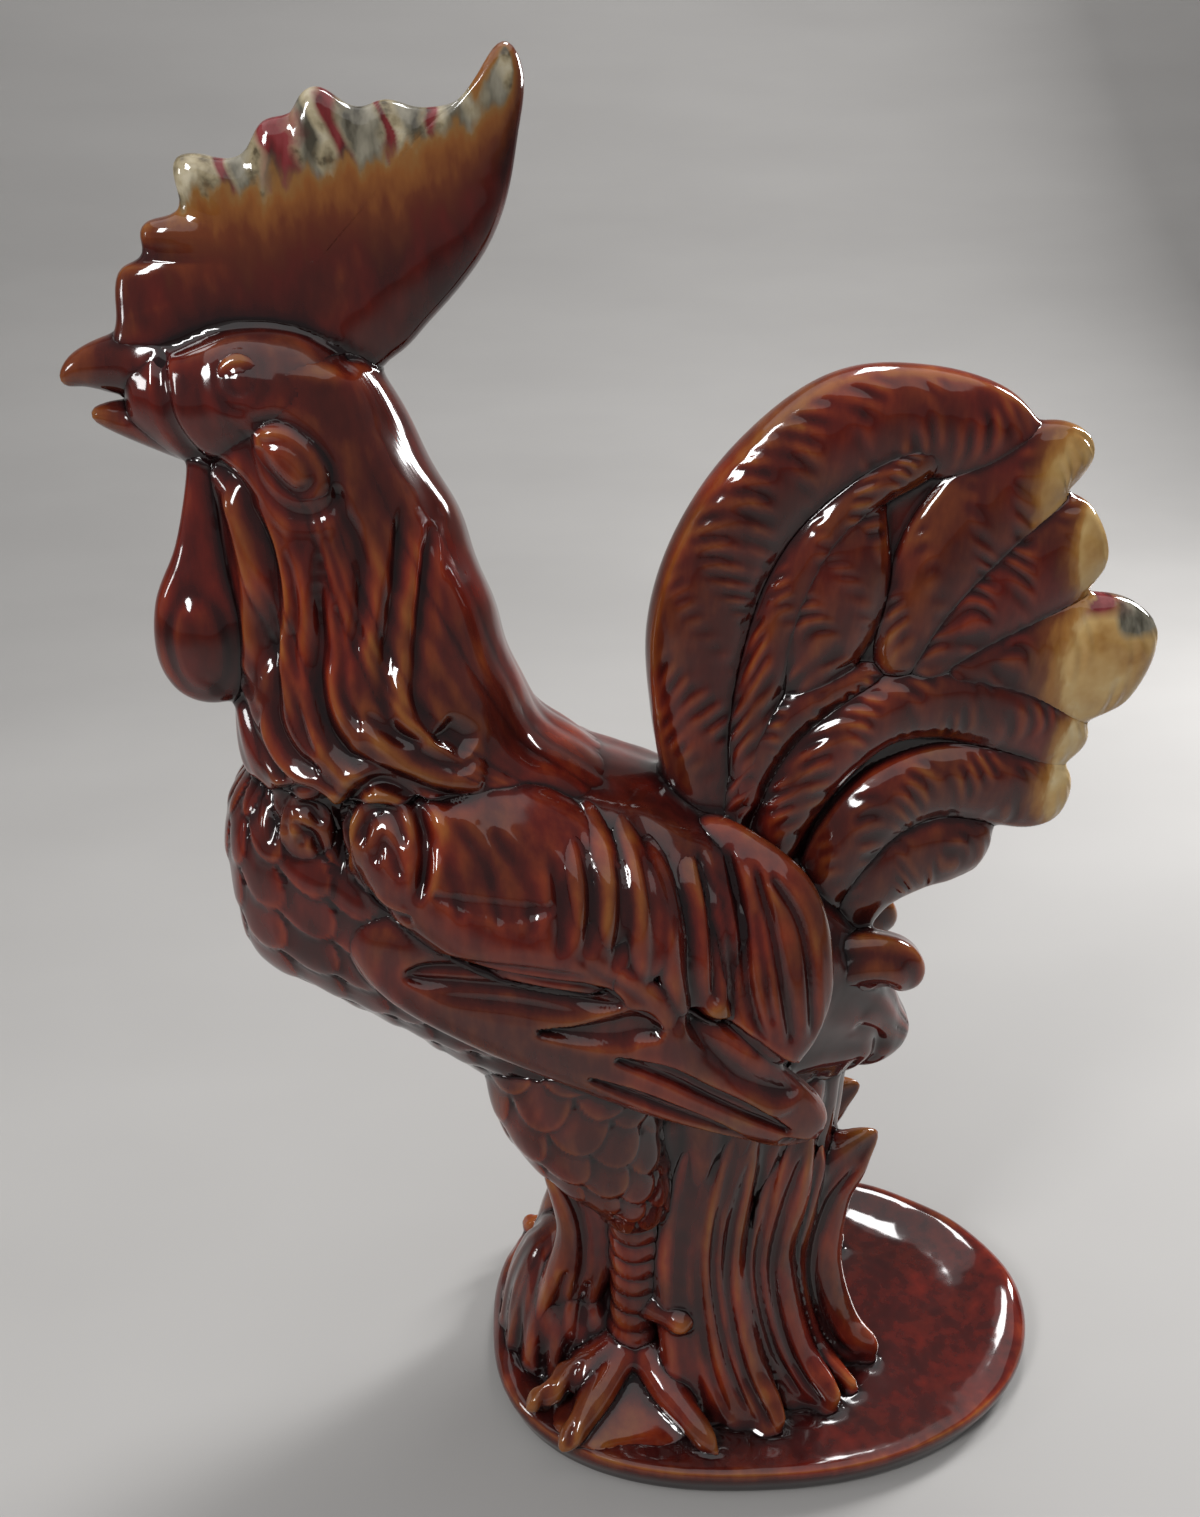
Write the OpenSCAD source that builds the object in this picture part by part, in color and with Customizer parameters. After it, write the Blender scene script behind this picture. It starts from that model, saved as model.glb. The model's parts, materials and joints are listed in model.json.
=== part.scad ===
// Glazed ceramic rooster standing on an oval dished base, hollow cast and fired in one piece.
// Millimetres. Z is up, the bird faces -X, its left side is -Y.
// The origin is the middle of the flat underside that rests on the table.

/* [Overall] */
// Height from the table to the tip of the rear comb horn
figure_h = 300; // [270:5:330]
// Points round each rounded form
round_pts = 10; // [8:2:14]

/* [Base] */
// Length of the oval base
base_len = 140; // [132:1:150]
// Width of the oval base
base_wid = 94; // [88:1:100]
// Height of the rounded rim of the dish
rim_h = 12; // [11:0.5:14]
// Level of the dish inside the rim
dish_h = 8; // [7:0.5:9]
// Height of the tuft of ground in front of the legs
mound_h = 40; // [36:1:44]

/* [Body] */
// Thickness of the cast clay wall
wall = 5; // [4:0.5:6]
// Full width of the body between the wings
body_w = 66; // [62:1:70]
// Full width of the neck cape where it meets the body
cape_w = 62; // [58:1:66]
// Diameter of the neck hollow at its top
throat_d = 22; // [18:1:26]

/* [Head] */
// Thickness of the comb plate at its middle
comb_t = 11; // [9:0.5:13]
// Full width of the head
head_w = 34; // [31:1:36]
// Diameter of an eye
eye_d = 7; // [6:0.5:8]

/* [Wings and tail] */
// Thickness of the wing's flight feathers
wing_t = 11; // [10:0.5:12]
// Thickness of the tail feathers at their thickest
tail_t = 18; // [16:0.5:20]

/* [Legs] */
// Diameter of a shank
shank_d = 11; // [10:0.5:12]
// Distance between the two shanks
leg_gap = 34; // [32:1:36]
// Number of scale rings on a shank
shank_rings = 9; // [7:1:10]

/* [Hidden] */
drawn_h = 300;
brown = [0.35, 0.12, 0.06];
amber = [0.55, 0.26, 0.10];
dark = [0.22, 0.08, 0.05];
cream = [0.85, 0.78, 0.66];
base_pts = 40;
half_gap = leg_gap / 2;

// Smooth curve through a list of number rows, u runs from 0 to 1 along it.
function spline(p0, p1, p2, p3, t) = 0.5 * (2 * p1 + (p2 - p0) * t
    + (2 * p0 - 5 * p1 + 4 * p2 - p3) * t * t + (3 * p1 - p0 - 3 * p2 + p3) * t * t * t);
function along(rows, u) = let (n = len(rows) - 1, i = max(0, min(n - 1, floor(u * n))), t = u * n - i)
    spline(rows[max(0, i - 1)], rows[i], rows[i + 1], rows[min(n, i + 2)], t);
// Rounding of the two ends of a swept form, 1 inside and small at the very end.
function dome(d, reach) = d >= reach ? 1 : max(0.25, sqrt(max(0, 1 - pow(1 - d / reach, 2))));
// Stations along a swept form lie closer together towards both ends.
function station(i, n) = 0.5 * i / n + 0.25 - 0.25 * cos(180 * i / n);
function place(r) = [r[0], r[1], r[2]];
// Cosine or sine bent outwards for a fuller section.
function bow(c, full) = sign(c) * pow(abs(c), 2 / full);
function unit(v) = v / max(norm(v), 0.0001);

// Closed solid from equal rings of points, with one point closing each end.
module skin(rings) {
    m = len(rings[0]);
    n = len(rings);
    ones = [for (j = [1:m]) 1 / m];
    pts = concat([for (r = rings) each r], [ones * rings[0], ones * rings[n - 1]]);
    sides = [for (i = [0:n - 2]) for (j = [0:m - 1]) let (k = (j + 1) % m)
        each [[i * m + k, i * m + j, (i + 1) * m + k], [(i + 1) * m + k, i * m + j, (i + 1) * m + j]]];
    first_fan = [for (j = [0:m - 1]) [j, (j + 1) % m, n * m]];
    last_fan = [for (j = [0:m - 1]) [(n - 1) * m + (j + 1) % m, (n - 1) * m + j, n * m + 1]];
    polyhedron(points = pts, faces = concat(sides, first_fan, last_fan));
}

// Rounded form swept along rows of [x, y, z, half depth, half width].
// The width is measured along the ref direction, the depth across it.
// A full of 2 gives oval sections, more than 2 gives fuller, squarer ones.
// Level sections lie flat in space, others stand square to the path.
module sweep(rows, steps = 14, e0 = 0.12, e1 = 0.12, ref = [0, 1, 0], pts = round_pts, full = 2,
    level = false) {
    rings = [for (i = [0:steps]) let (
        u = station(i, steps),
        r = along(rows, u),
        k = dome(u, e0) * dome(1 - u, e1),
        way = unit(place(along(rows, u + 0.01)) - place(along(rows, u - 0.01))),
        t = level ? [0, 0, sign(way[2])] : way,
        n = unit(cross(ref, t)),
        w = cross(t, n))
        [for (j = [0:pts - 1]) let (a = 360 * j / pts)
            place(r) + n * r[3] * k * bow(cos(a), full) + w * r[4] * k * bow(sin(a), full)]];
    skin(rings);
}

// Flat rounded plate: an outline in the side plane, thickest at its middle.
module plate(outline, mid, half_t) {
    fine = 2;
    n = len(outline);
    steps = n * fine;
    closed = concat([outline[n - 1]], outline, [outline[0], outline[1]]);
    edge = [for (i = [0:steps - 1]) let (k = floor(i / fine), t = i / fine - k)
        spline(closed[k], closed[k + 1], closed[k + 2], closed[k + 3], t)];
    bulge = [[0.4, -1], [0.8, -0.85], [0.96, -0.5], [1, 0], [0.96, 0.5], [0.8, 0.85], [0.4, 1]];
    skin([for (b = bulge) [for (p = edge)
        [mid[0] + (p[0] - mid[0]) * b[0], half_t * b[1], mid[1] + (p[1] - mid[1]) * b[0]]]]);
}

module mirrored() {
    mirror([0, 1, 0]) children();
}

// Oval base, fuller at the front: flat foot, rounded wall, rim and shallow dish.
function oval(f, z) = [for (j = [0:base_pts - 1]) let (
    a = 360 * j / base_pts,
    full = cos(a) < 0 ? front_full : 2)
    [base_len / 2 * f * bow(cos(a), full), base_wid / 2 * f * bow(sin(a), full), z]];
front_full = 2.5;
foot_h = 3;
rim_steps = [[0.97, foot_h], [1, 5], [1, 8], [0.985, rim_h - 1.5], [0.95, rim_h], [0.91, rim_h - 1],
    [0.84, dish_h + 1], [0.72, dish_h], [0.4, dish_h]];

module f_base() {
    skin([for (r = rim_steps) oval(r[0], r[1])]);
    linear_extrude(foot_h)
        polygon([for (p = oval(0.97, 0)) [p[0], p[1]]]);
}

module base_plinth() {
    color(dark)
    f_base();
}

// Ground under the feet: a low spread of soil and a round tuft in front of the legs.
// Steps of [share of the size, height].
soil_mid = [-40, 0];
soil_size = [25, 33];
soil_steps = [[1, dish_h - 2], [0.96, dish_h + 3], [0.8, 14], [0.6, 17.5], [0.4, 20], [0.2, 21]];
tuft_mid = [-49, 0];
tuft_size = [18, 21];
tuft_steps = [[1, dish_h - 3], [0.98, 14], [0.9, mound_h - 19], [0.77, mound_h - 12], [0.56, mound_h - 5],
    [0.3, mound_h - 1], [0.1, mound_h]];

module heap(middle, size, steps) {
    skin([for (r = steps) [for (j = [0:27]) let (a = 360 * j / 28)
        [middle[0] + size[0] * r[0] * cos(a), middle[1] + size[1] * r[0] * sin(a), r[1]]]]);
}

module f_mound() {
    heap(soil_mid, soil_size, soil_steps);
    heap(tuft_mid, tuft_size, tuft_steps);
}

module ground_mound() {
    color(dark)
    difference() {
        f_mound();
        f_base();
    }
}

// Clump of grass blades that carries the body: a core and flaring blades round it.
core_rows = [[-14, 0, 6, 36, 27], [-14, 0, 16, 31, 22], [-15, 0, 34, 27, 19], [-16, 0, 56, 28, 19],
    [-18, 0, 78, 32, 22], [-20, 0, 100, 34, 24]];
blade_rows = [
    [[-4, -35, 3, 7, 5], [-11, -25, 22, 6, 5], [-15, -20, 46, 5, 5], [-12, -20, 68, 4, 4],
        [-6, -21, 86, 2, 2]],
    [[12, -31, 3, 7, 5], [1, -22, 22, 6, 5], [-4, -18, 46, 5, 5], [0, -18, 68, 4, 4], [7, -19, 85, 2, 2]],
    [[26, -19, 3, 7, 5], [14, -15, 20, 6, 5], [8, -12, 42, 5, 5], [14, -10, 60, 4, 4], [23, -8, 68, 2, 2]],
    [[-54, -10, 20, 5, 5], [-48, -11, 32, 5, 5], [-44, -11, 46, 5, 5], [-48, -11, 62, 4, 4],
        [-55, -11, 70, 2, 2]],
    [[-20, -31, 3, 6, 5], [-24, -23, 24, 5, 5], [-26, -19, 46, 5, 5], [-24, -20, 68, 4, 4],
        [-20, -22, 82, 2, 2]]];

module f_core() {
    sweep(core_rows, 10, 0.02, 0.1, pts = 14);
}

module f_blades() {
    for (b = blade_rows)
        sweep(b, 8, 0.1, 0.2, pts = 8);
}

module grass_core() {
    color(dark)
    difference() {
        f_core();
        f_base();
        f_mound();
        f_body();
        shank_bore();
        mirrored() shank_bore();
    }
}

module left_grass() {
    color(amber)
    difference() {
        f_blades();
        f_base();
        f_mound();
        f_core();
        f_thigh();
        shank_bore();
        f_body();
    }
}

module right_grass() {
    mirrored() left_grass();
}

// Legs: scaled thigh, ringed shank, three toes and a spur.
shank_x = -35;
shank_foot = 13;
shank_top = 66;
groove = 0.9;
thigh_rows = [[-50, -17, 112, 18, 14], [-48, -19, 98, 17, 13], [-42, -20, 84, 13, 11], [-37, -19, 73, 9, 9],
    [shank_x, -half_gap, 62, 7, 7]];
toe_rows = [
    [[-36, -18, 22, 5, 4], [-46, -22, 18, 4.5, 4], [-62, -29, 13, 3, 3]],
    [[-35, -18, 22, 5, 4.5], [-43, -27, 18, 4.5, 4.5], [-53, -38, 12, 3, 3.5]],
    [[-34, -18, 22, 5, 4], [-28, -28, 17, 4.5, 4], [-18, -41, 11, 3, 3]]];

module f_thigh() {
    sweep(thigh_rows, 10, 0.05, 0.12, pts = 12);
}

module f_shank() {
    ring_h = (shank_top - shank_foot) / shank_rings;
    translate([shank_x, -half_gap, shank_foot])
    rotate_extrude($fn = 24)
        polygon(concat([[0, 0]],
            [for (i = [0:shank_rings - 1]) each
                [[shank_d / 2 - groove, i * ring_h], [shank_d / 2, (i + 0.7) * ring_h]]],
            [[shank_d / 2 - groove, shank_top - shank_foot], [0, shank_top - shank_foot]]));
}

module shank_bore() {
    translate([shank_x, -half_gap, 0])
        cylinder(h = shank_top, d = shank_d);
}

module f_foot() {
    for (t = toe_rows)
        sweep(t, 7, 0.15, 0.2, ref = [0, 0, 1], pts = 8);
    translate([shank_x, -half_gap, 34])
    rotate([0, 95, 0])
        cylinder(h = 17, r1 = 5, r2 = 1.4, $fn = 20);
}

module left_thigh() {
    color(amber)
    difference() {
        f_thigh();
        f_body();
    }
}

module right_thigh() {
    mirrored() left_thigh();
}

module left_shank() {
    color(brown)
    difference() {
        f_shank();
        f_thigh();
        f_mound();
    }
}

module right_shank() {
    mirrored() left_shank();
}

module left_foot() {
    color(brown)
    difference() {
        f_foot();
        shank_bore();
        f_mound();
        f_base();
    }
}

module right_foot() {
    mirrored() left_foot();
}

// Body: egg-shaped shell, cut off flat where the neck cape is luted on, its hollow open to the neck.
body_rows = [[-118, 0, 153, 4, 4], [-111, 0, 153, 21, 0.6 * body_w / 2], [-92, 0, 151, 28, 0.86 * body_w / 2],
    [-70, 0, 145, 33, body_w / 2], [-48, 0, 134, 37, body_w / 2], [-26, 0, 124, 35, 0.94 * body_w / 2],
    [-6, 0, 115, 28, 0.78 * body_w / 2], [12, 0, 106, 17, 0.48 * body_w / 2], [22, 0, 100, 9, 9],
    [29, 0, 96, 4, 4]];
neck_rows = [[-97, 0, 253, 14, 14], [-95, 0, 240, 18, 17.5], [-91, 0, 222, 22.5, 20], [-88, 0, 205, 25, 23],
    [-86, 0, 192, 27, 0.9 * cape_w / 2], [-84, 0, 181, 30, 0.97 * cape_w / 2], [-79, 0, 173, 35, cape_w / 2],
    [-75, 0, 165, 40, cape_w / 2]];
joint_z = 169;
body_full = 2.5;

module f_body() {
    sweep(body_rows, 16, 0.06, 0.06, pts = 20, full = body_full);
}

// Everything on one side of the flat joint between body and neck.
module joint_block(z0, z1) {
    translate([-140, -50, z0])
        cube([115, 100, z1 - z0]);
}

module body() {
    inner = [for (r = body_rows) [r[0], 0, r[2], max(1, r[3] - wall), max(1, r[4] - wall)]];
    color(brown)
    difference() {
        f_body();
        sweep(inner, 10, 0.1, 0.1, pts = 12, full = body_full);
        joint_block(joint_z, 220);
    }
}

module f_neck() {
    sweep(neck_rows, 12, 0.05, 0.04, pts = 20, level = true);
}

// The part of the neck that stands above the joint.
module f_cape() {
    difference() {
        f_neck();
        joint_block(100, joint_z);
    }
}

// Point on the neck surface: u runs down the neck, a goes round it, rise lifts it off.
function neck_point(u, a, rise) = let (r = along(neck_rows, u))
    [r[0] - (r[3] + rise) * cos(a), (r[4] + rise) * sin(a), r[2]];

// Raised hackle feathers that run down the neck.
module strands() {
    for (a = [30:30:330])
        for (u = [0.18, 0.52])
            hull() {
                translate(neck_point(u, a, -1))
                    sphere(d = 5, $fn = 6);
                translate(neck_point(u + 0.34, a, -1))
                    sphere(d = 7, $fn = 6);
            }
}

module neck_hackle() {
    hollow_top = 232;
    color(brown)
    difference() {
        union() {
            f_neck();
            strands();
        }
        joint_block(100, joint_z);
        f_head();
        translate([-84, 0, joint_z - 1])
            cylinder(h = hollow_top - joint_z, d1 = throat_d + 12, d2 = throat_d, $fn = 32);
    }
}

// Head with beak, comb, eyes, ear lobes and wattles.
head_rows = [[-125, 0, 246, 6, 6], [-119, 0, 245, 10, 10], [-111, 0, 244, 13, 0.85 * head_w / 2],
    [-101, 0, 244, 14, head_w / 2], [-92, 0, 243, 13, 0.91 * head_w / 2], [-86, 0, 242, 9, 11],
    [-83, 0, 241, 5, 5]];
upper_beak_rows = [[-137, 0, 246, 1.2, 1.5], [-133, 0, 248.5, 3.2, 3.2], [-127, 0, 249.5, 5, 5.2],
    [-120, 0, 249.5, 6, 7.5], [-113, 0, 248, 6, 9]];
lower_beak_rows = [[-133, 0, 241, 1.2, 1.6], [-129, 0, 240.5, 2.6, 3.2], [-123, 0, 239, 3.6, 5.5],
    [-115, 0, 237, 5, 7]];
comb_edge = [[-124, 251], [-125, 260], [-120, 265], [-119, 271], [-113, 274], [-112, 282], [-103, 282],
    [-97, 288], [-92, 287], [-88, 293], [-82, 289], [-76, 292], [-69, 289], [-62, 296], [-56, 300],
    [-54, 291], [-57, 279], [-62, 267], [-69, 257], [-78, 250], [-90, 245], [-108, 246]];
comb_mid = [-90, 266];
eye_at = [-104, -15.5, 248];
lobe_rows = [[-101, -15, 241, 3, 3], [-97, -16, 238, 5, 4], [-93, -17, 233, 5, 4], [-91, -17, 229, 3, 3]];
wattle_rows = [[-112, -7, 236, 3, 3], [-112.5, -7.5, 227, 4.5, 4.5], [-113.5, -8, 217, 6.5, 6],
    [-115, -8.5, 207, 9, 7], [-115.5, -8.5, 197, 9, 7], [-115.5, -8, 189, 5, 5]];

module f_head() {
    sweep(head_rows, 12, 0.08, 0.08, pts = 16);
}

module head() {
    color(brown)
    f_head();
}

module f_upper_beak() {
    sweep(upper_beak_rows, 8, 0.05, 0.05);
}

module upper_beak() {
    color(amber)
    difference() {
        f_upper_beak();
        f_head();
    }
}

module lower_beak() {
    color(amber)
    difference() {
        sweep(lower_beak_rows, 8, 0.06, 0.05);
        f_upper_beak();
        f_head();
    }
}

module comb() {
    color(cream)
    difference() {
        plate(comb_edge, comb_mid, comb_t / 2);
        f_head();
        f_upper_beak();
        f_neck();
    }
}

module f_eye() {
    translate(eye_at)
        sphere(d = eye_d, $fn = 24);
}

module left_eye() {
    color(dark)
    difference() {
        f_eye();
        f_head();
    }
}

module right_eye() {
    mirrored() left_eye();
}

module f_lobe() {
    sweep(lobe_rows, 8, 0.2, 0.2);
}

module left_ear_lobe() {
    color(amber)
    difference() {
        f_lobe();
        f_head();
        f_neck();
    }
}

module right_ear_lobe() {
    mirrored() left_ear_lobe();
}

module left_wattle() {
    color(brown)
    difference() {
        sweep(wattle_rows, 10, 0.1, 0.12);
        f_head();
        f_neck();
        sweep(lower_beak_rows, 8, 0.06, 0.05);
    }
}

module right_wattle() {
    mirrored() left_wattle();
}

// Wings: a rounded shoulder shield over one long leaf of flight feathers.
half_wing = wing_t / 2;
shoulder_t = 9;
shoulder_rows = [[-88, -20, 176, 8, shoulder_t - 1], [-76, -25, 168, 16, shoulder_t],
    [-60, -27, 158, 19, shoulder_t], [-44, -27, 147, 15, shoulder_t - 1], [-32, -26, 138, 7, 5]];
// The shield leans in over the back as the flank under it does.
flank = [0, 0.75, -0.66];
primary_rows = [[-92, -25, 149, 5, half_wing], [-80, -30, 144, 11, half_wing], [-64, -32, 137, 14, half_wing],
    [-46, -32, 127, 14.5, half_wing], [-28, -31, 115, 13, half_wing], [-12, -29, 104, 10, half_wing],
    [-1, -27, 96, 7, 5], [4, -25, 93, 3, 3]];

module f_shoulder() {
    sweep(shoulder_rows, 12, 0.2, 0.2, ref = flank, pts = 14);
}

module f_primaries() {
    sweep(primary_rows, 16, 0.1, 0.12, pts = 14, full = 2.5);
}

module left_wing_primaries() {
    color(brown)
    difference() {
        f_primaries();
        f_body();
    }
}

module right_wing_primaries() {
    mirrored() left_wing_primaries();
}

module left_wing_shoulder() {
    color(amber)
    difference() {
        f_shoulder();
        f_primaries();
        f_body();
        f_cape();
    }
}

module right_wing_shoulder() {
    mirrored() left_wing_shoulder();
}

// Saddle hackle: strands that fall from the back over the root of the wing, and a broad fan behind them.
strand_rows = [
    [[-49, -16, 169, 3, 4], [-46, -26.5, 161, 4.5, 5], [-45, -31.5, 152, 5, 5], [-46, -33.5, 145, 3, 3]],
    [[-41, -13, 167, 3, 4], [-38, -25, 158, 4.5, 5], [-36, -30.5, 150, 5, 5], [-37, -33, 141, 3, 3]],
    [[-35, -11, 164, 3, 4], [-32, -24, 156, 4, 5], [-30, -30, 147, 4.5, 5], [-28, -32.5, 136, 3, 4]]];
fan_rows = [[-24, -12, 160, 4, 3], [-18, -15, 153, 9, 6], [-12, -19, 144, 13.5, 7], [-9, -25, 131, 13, 7],
    [-8, -26, 121, 10, 6.5], [-7, -26, 113, 5, 5]];

module f_saddle() {
    for (s = strand_rows)
        sweep(s, 8, 0.12, 0.15, pts = 8);
    sweep(fan_rows, 10, 0.12, 0.15, pts = 12);
}

module left_saddle_hackle() {
    color(amber)
    difference() {
        f_saddle();
        f_shoulder();
        f_primaries();
        f_body();
    }
}

module right_saddle_hackle() {
    mirrored() left_saddle_hackle();
}

// Rounded breast feathers in front of the wing, curling out from under the neck cape.
curl_rows = [
    [[-102, -16, 177, 4, 4], [-99, -20, 172, 6.5, 5.5], [-98, -21, 165, 6, 5.5], [-99, -20, 157, 3, 3.5]],
    [[-88, -23, 179, 4, 4], [-85, -26, 173, 7, 5.5], [-84, -27, 165, 7, 5.5], [-85, -27, 155, 3.5, 3.5]]];

module left_breast_curls() {
    color(amber)
    difference() {
        for (c = curl_rows)
            sweep(c, 8, 0.15, 0.15, pts = 10);
        f_body();
        f_cape();
        f_primaries();
        f_shoulder();
    }
}

module right_breast_curls() {
    mirrored() left_breast_curls();
}

// Tail: a fan of feathers standing on edge, the nearest ones covering the roots of the others.
// Each feather is rows of [x, 0, z, half breadth, half thickness].
thick = tail_t / 2;
web_edge = [[-18, 158], [-18, 186], [-10, 212], [6, 230], [26, 232], [42, 226], [48, 212], [52, 202],
    [58, 184], [52, 166], [36, 148], [16, 134], [-6, 138]];
web_t = 6;
sickle_rows = [[-19, 0, 150, 6, thick], [-22, 0, 166, 7, thick], [-24, 0, 182, 8, thick - 1],
    [-24, 0, 198, 9, thick - 1.5], [-20, 0, 213, 9, thick - 2], [-11, 0, 227, 9, thick - 2],
    [3, 0, 237, 10, thick - 2.5], [17, 0, 239, 9, thick - 3], [31, 0, 236, 8, thick - 3.5],
    [43, 0, 231, 4, 3]];
inner_rows = [[-13, 0, 158, 4, thick], [-13, 0, 176, 5, thick], [-9, 0, 197, 5, thick - 1],
    [-3, 0, 213, 5, thick - 1.5], [6, 0, 225, 4, thick - 2], [16, 0, 231, 4, thick - 3], [25, 0, 233, 2, 3]];
leaf_rows = [[0, 0, 182, 5, thick - 2], [-1, 0, 194, 9, thick - 1], [2, 0, 207, 10, thick - 1],
    [5, 0, 218, 7, thick - 2], [9, 0, 228, 2, 4]];
upper_rows = [[16, 0, 188, 4, thick - 2], [19, 0, 202, 7, thick - 1.5], [25, 0, 215, 10, thick - 2],
    [34, 0, 225, 10, thick - 3], [44, 0, 231, 7, 5], [52, 0, 231, 3, 3]];
rear_rows = [[20, 0, 188, 4, thick - 2], [28, 0, 198, 8, thick - 2], [37, 0, 206, 10, thick - 2.5],
    [46, 0, 213, 10, thick - 3.5], [55, 0, 219, 7, 4]];
broad_rows = [[26, 0, 188, 4, thick - 2], [37, 0, 191, 8, thick - 2], [49, 0, 192, 11, thick - 2.5],
    [61, 0, 191, 12, thick - 3], [71, 0, 189, 7, 4]];
short_rows = [[-17, 0, 150, 4, thick], [-14, 0, 166, 5, thick], [-7, 0, 179, 5, thick],
    [4, 0, 187, 4, thick - 1], [16, 0, 189, 2, 4]];
long_rows = [[-8, 0, 144, 5, thick + 1], [-5, 0, 158, 6, thick + 1], [3, 0, 172, 7, thick + 0.5],
    [14, 0, 181, 7, thick], [27, 0, 184, 8, thick - 1], [40, 0, 181, 8, thick - 2], [52, 0, 174, 7, thick - 4],
    [61, 0, 171, 4, 3]];
lower_rows = [[2, 0, 132, 5, thick + 1], [7, 0, 147, 7, thick + 1], [15, 0, 159, 8, thick],
    [27, 0, 165, 8, thick - 1], [40, 0, 164, 8, thick - 2], [51, 0, 161, 8, thick - 4],
    [59, 0, 161, 5, 4]];
low_rows = [[8, 0, 128, 6, thick], [14, 0, 141, 8, thick], [24, 0, 148, 9, thick - 1],
    [34, 0, 149, 8, thick - 2], [43, 0, 148, 5, 4]];
covert_rows = [[-6, -10, 118, 6, 6], [6, -12, 124, 7, 6], [18, -11, 126, 6, 5], [27, -9, 123, 4, 4]];

module f_feather(rows, e0 = 0.08, e1 = 0.1) {
    sweep(rows, 12, e0, e1, pts = 10);
}

module outer_sickle() {
    color(brown)
    difference() {
        f_feather(sickle_rows);
        f_feather(inner_rows);
        f_feather(short_rows);
        f_feather(upper_rows);
        f_body();
    }
}

module inner_sickle() {
    color(brown)
    difference() {
        f_feather(inner_rows);
        f_feather(leaf_rows);
        f_feather(short_rows);
        f_feather(long_rows);
        f_feather(upper_rows);
        f_body();
    }
}

module tail_leaf() {
    color(amber)
    difference() {
        f_feather(leaf_rows);
        f_feather(short_rows);
        f_feather(long_rows);
        f_feather(upper_rows);
    }
}

module upper_tail_feather() {
    color(amber)
    difference() {
        f_feather(upper_rows);
        f_feather(rear_rows);
        f_feather(broad_rows);
        f_feather(long_rows);
        f_feather(short_rows);
    }
}

module rear_tail_feather() {
    color(cream)
    difference() {
        f_feather(rear_rows);
        f_feather(broad_rows);
        f_feather(long_rows);
    }
}

module broad_tail_feather() {
    color(cream)
    difference() {
        f_feather(broad_rows);
        f_feather(long_rows);
    }
}

module short_sickle() {
    color(amber)
    difference() {
        f_feather(short_rows);
        f_feather(long_rows);
        f_body();
    }
}

module long_sickle() {
    color(brown)
    difference() {
        f_feather(long_rows);
        f_feather(lower_rows);
        f_body();
    }
}

module lower_sickle() {
    color(amber)
    difference() {
        f_feather(lower_rows);
        f_feather(low_rows);
        f_body();
    }
}

module low_tail_feather() {
    color(brown)
    difference() {
        f_feather(low_rows);
        f_body();
    }
}

module tail_web() {
    color(dark)
    difference() {
        rotate([90, 0, 0])
        linear_extrude(web_t, center = true)
            polygon(web_edge);
        f_feather(sickle_rows);
        f_feather(inner_rows);
        f_feather(leaf_rows);
        f_feather(upper_rows);
        f_feather(rear_rows);
        f_feather(broad_rows);
        f_feather(short_rows);
        f_feather(long_rows);
        f_feather(lower_rows);
        f_feather(low_rows);
        f_body();
    }
}

module f_covert() {
    sweep(covert_rows, 8, 0.1, 0.2);
}

module left_tail_covert() {
    color(amber)
    difference() {
        f_covert();
        f_feather(lower_rows);
        f_feather(low_rows);
        f_body();
        f_saddle();
    }
}

module right_tail_covert() {
    mirrored() left_tail_covert();
}

// The whole figure is drawn 300 mm tall and scaled to the height asked for.
module sized() {
    scale(figure_h / drawn_h)
        children();
}

sized() base_plinth();
sized() ground_mound();
sized() grass_core();
sized() left_grass();
sized() right_grass();
sized() left_foot();
sized() right_foot();
sized() left_shank();
sized() right_shank();
sized() left_thigh();
sized() right_thigh();
sized() body();
sized() left_wing_shoulder();
sized() right_wing_shoulder();
sized() left_wing_primaries();
sized() right_wing_primaries();
sized() left_saddle_hackle();
sized() right_saddle_hackle();
sized() left_breast_curls();
sized() right_breast_curls();
sized() neck_hackle();
sized() head();
sized() upper_beak();
sized() lower_beak();
sized() comb();
sized() left_eye();
sized() right_eye();
sized() left_ear_lobe();
sized() right_ear_lobe();
sized() left_wattle();
sized() right_wattle();
sized() tail_web();
sized() outer_sickle();
sized() inner_sickle();
sized() tail_leaf();
sized() upper_tail_feather();
sized() rear_tail_feather();
sized() broad_tail_feather();
sized() short_sickle();
sized() long_sickle();
sized() lower_sickle();
sized() low_tail_feather();
sized() left_tail_covert();
sized() right_tail_covert();
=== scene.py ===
# %% [markdown]
# # A treacle-glazed rooster
# The real object is a slip-cast ornament: a pale clay bird, dipped in a brown iron glaze and fired.
# It has no moving parts, but a maker still models it as forms that are joined with slip: base,
# legs, body, wings, neck, head, tail. This lesson models each form as a dense mesh on the frame of
# the solid model, softens the joins the way slip and glaze do, presses the feather lines in, and
# pours one glossy glaze over everything.

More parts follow.
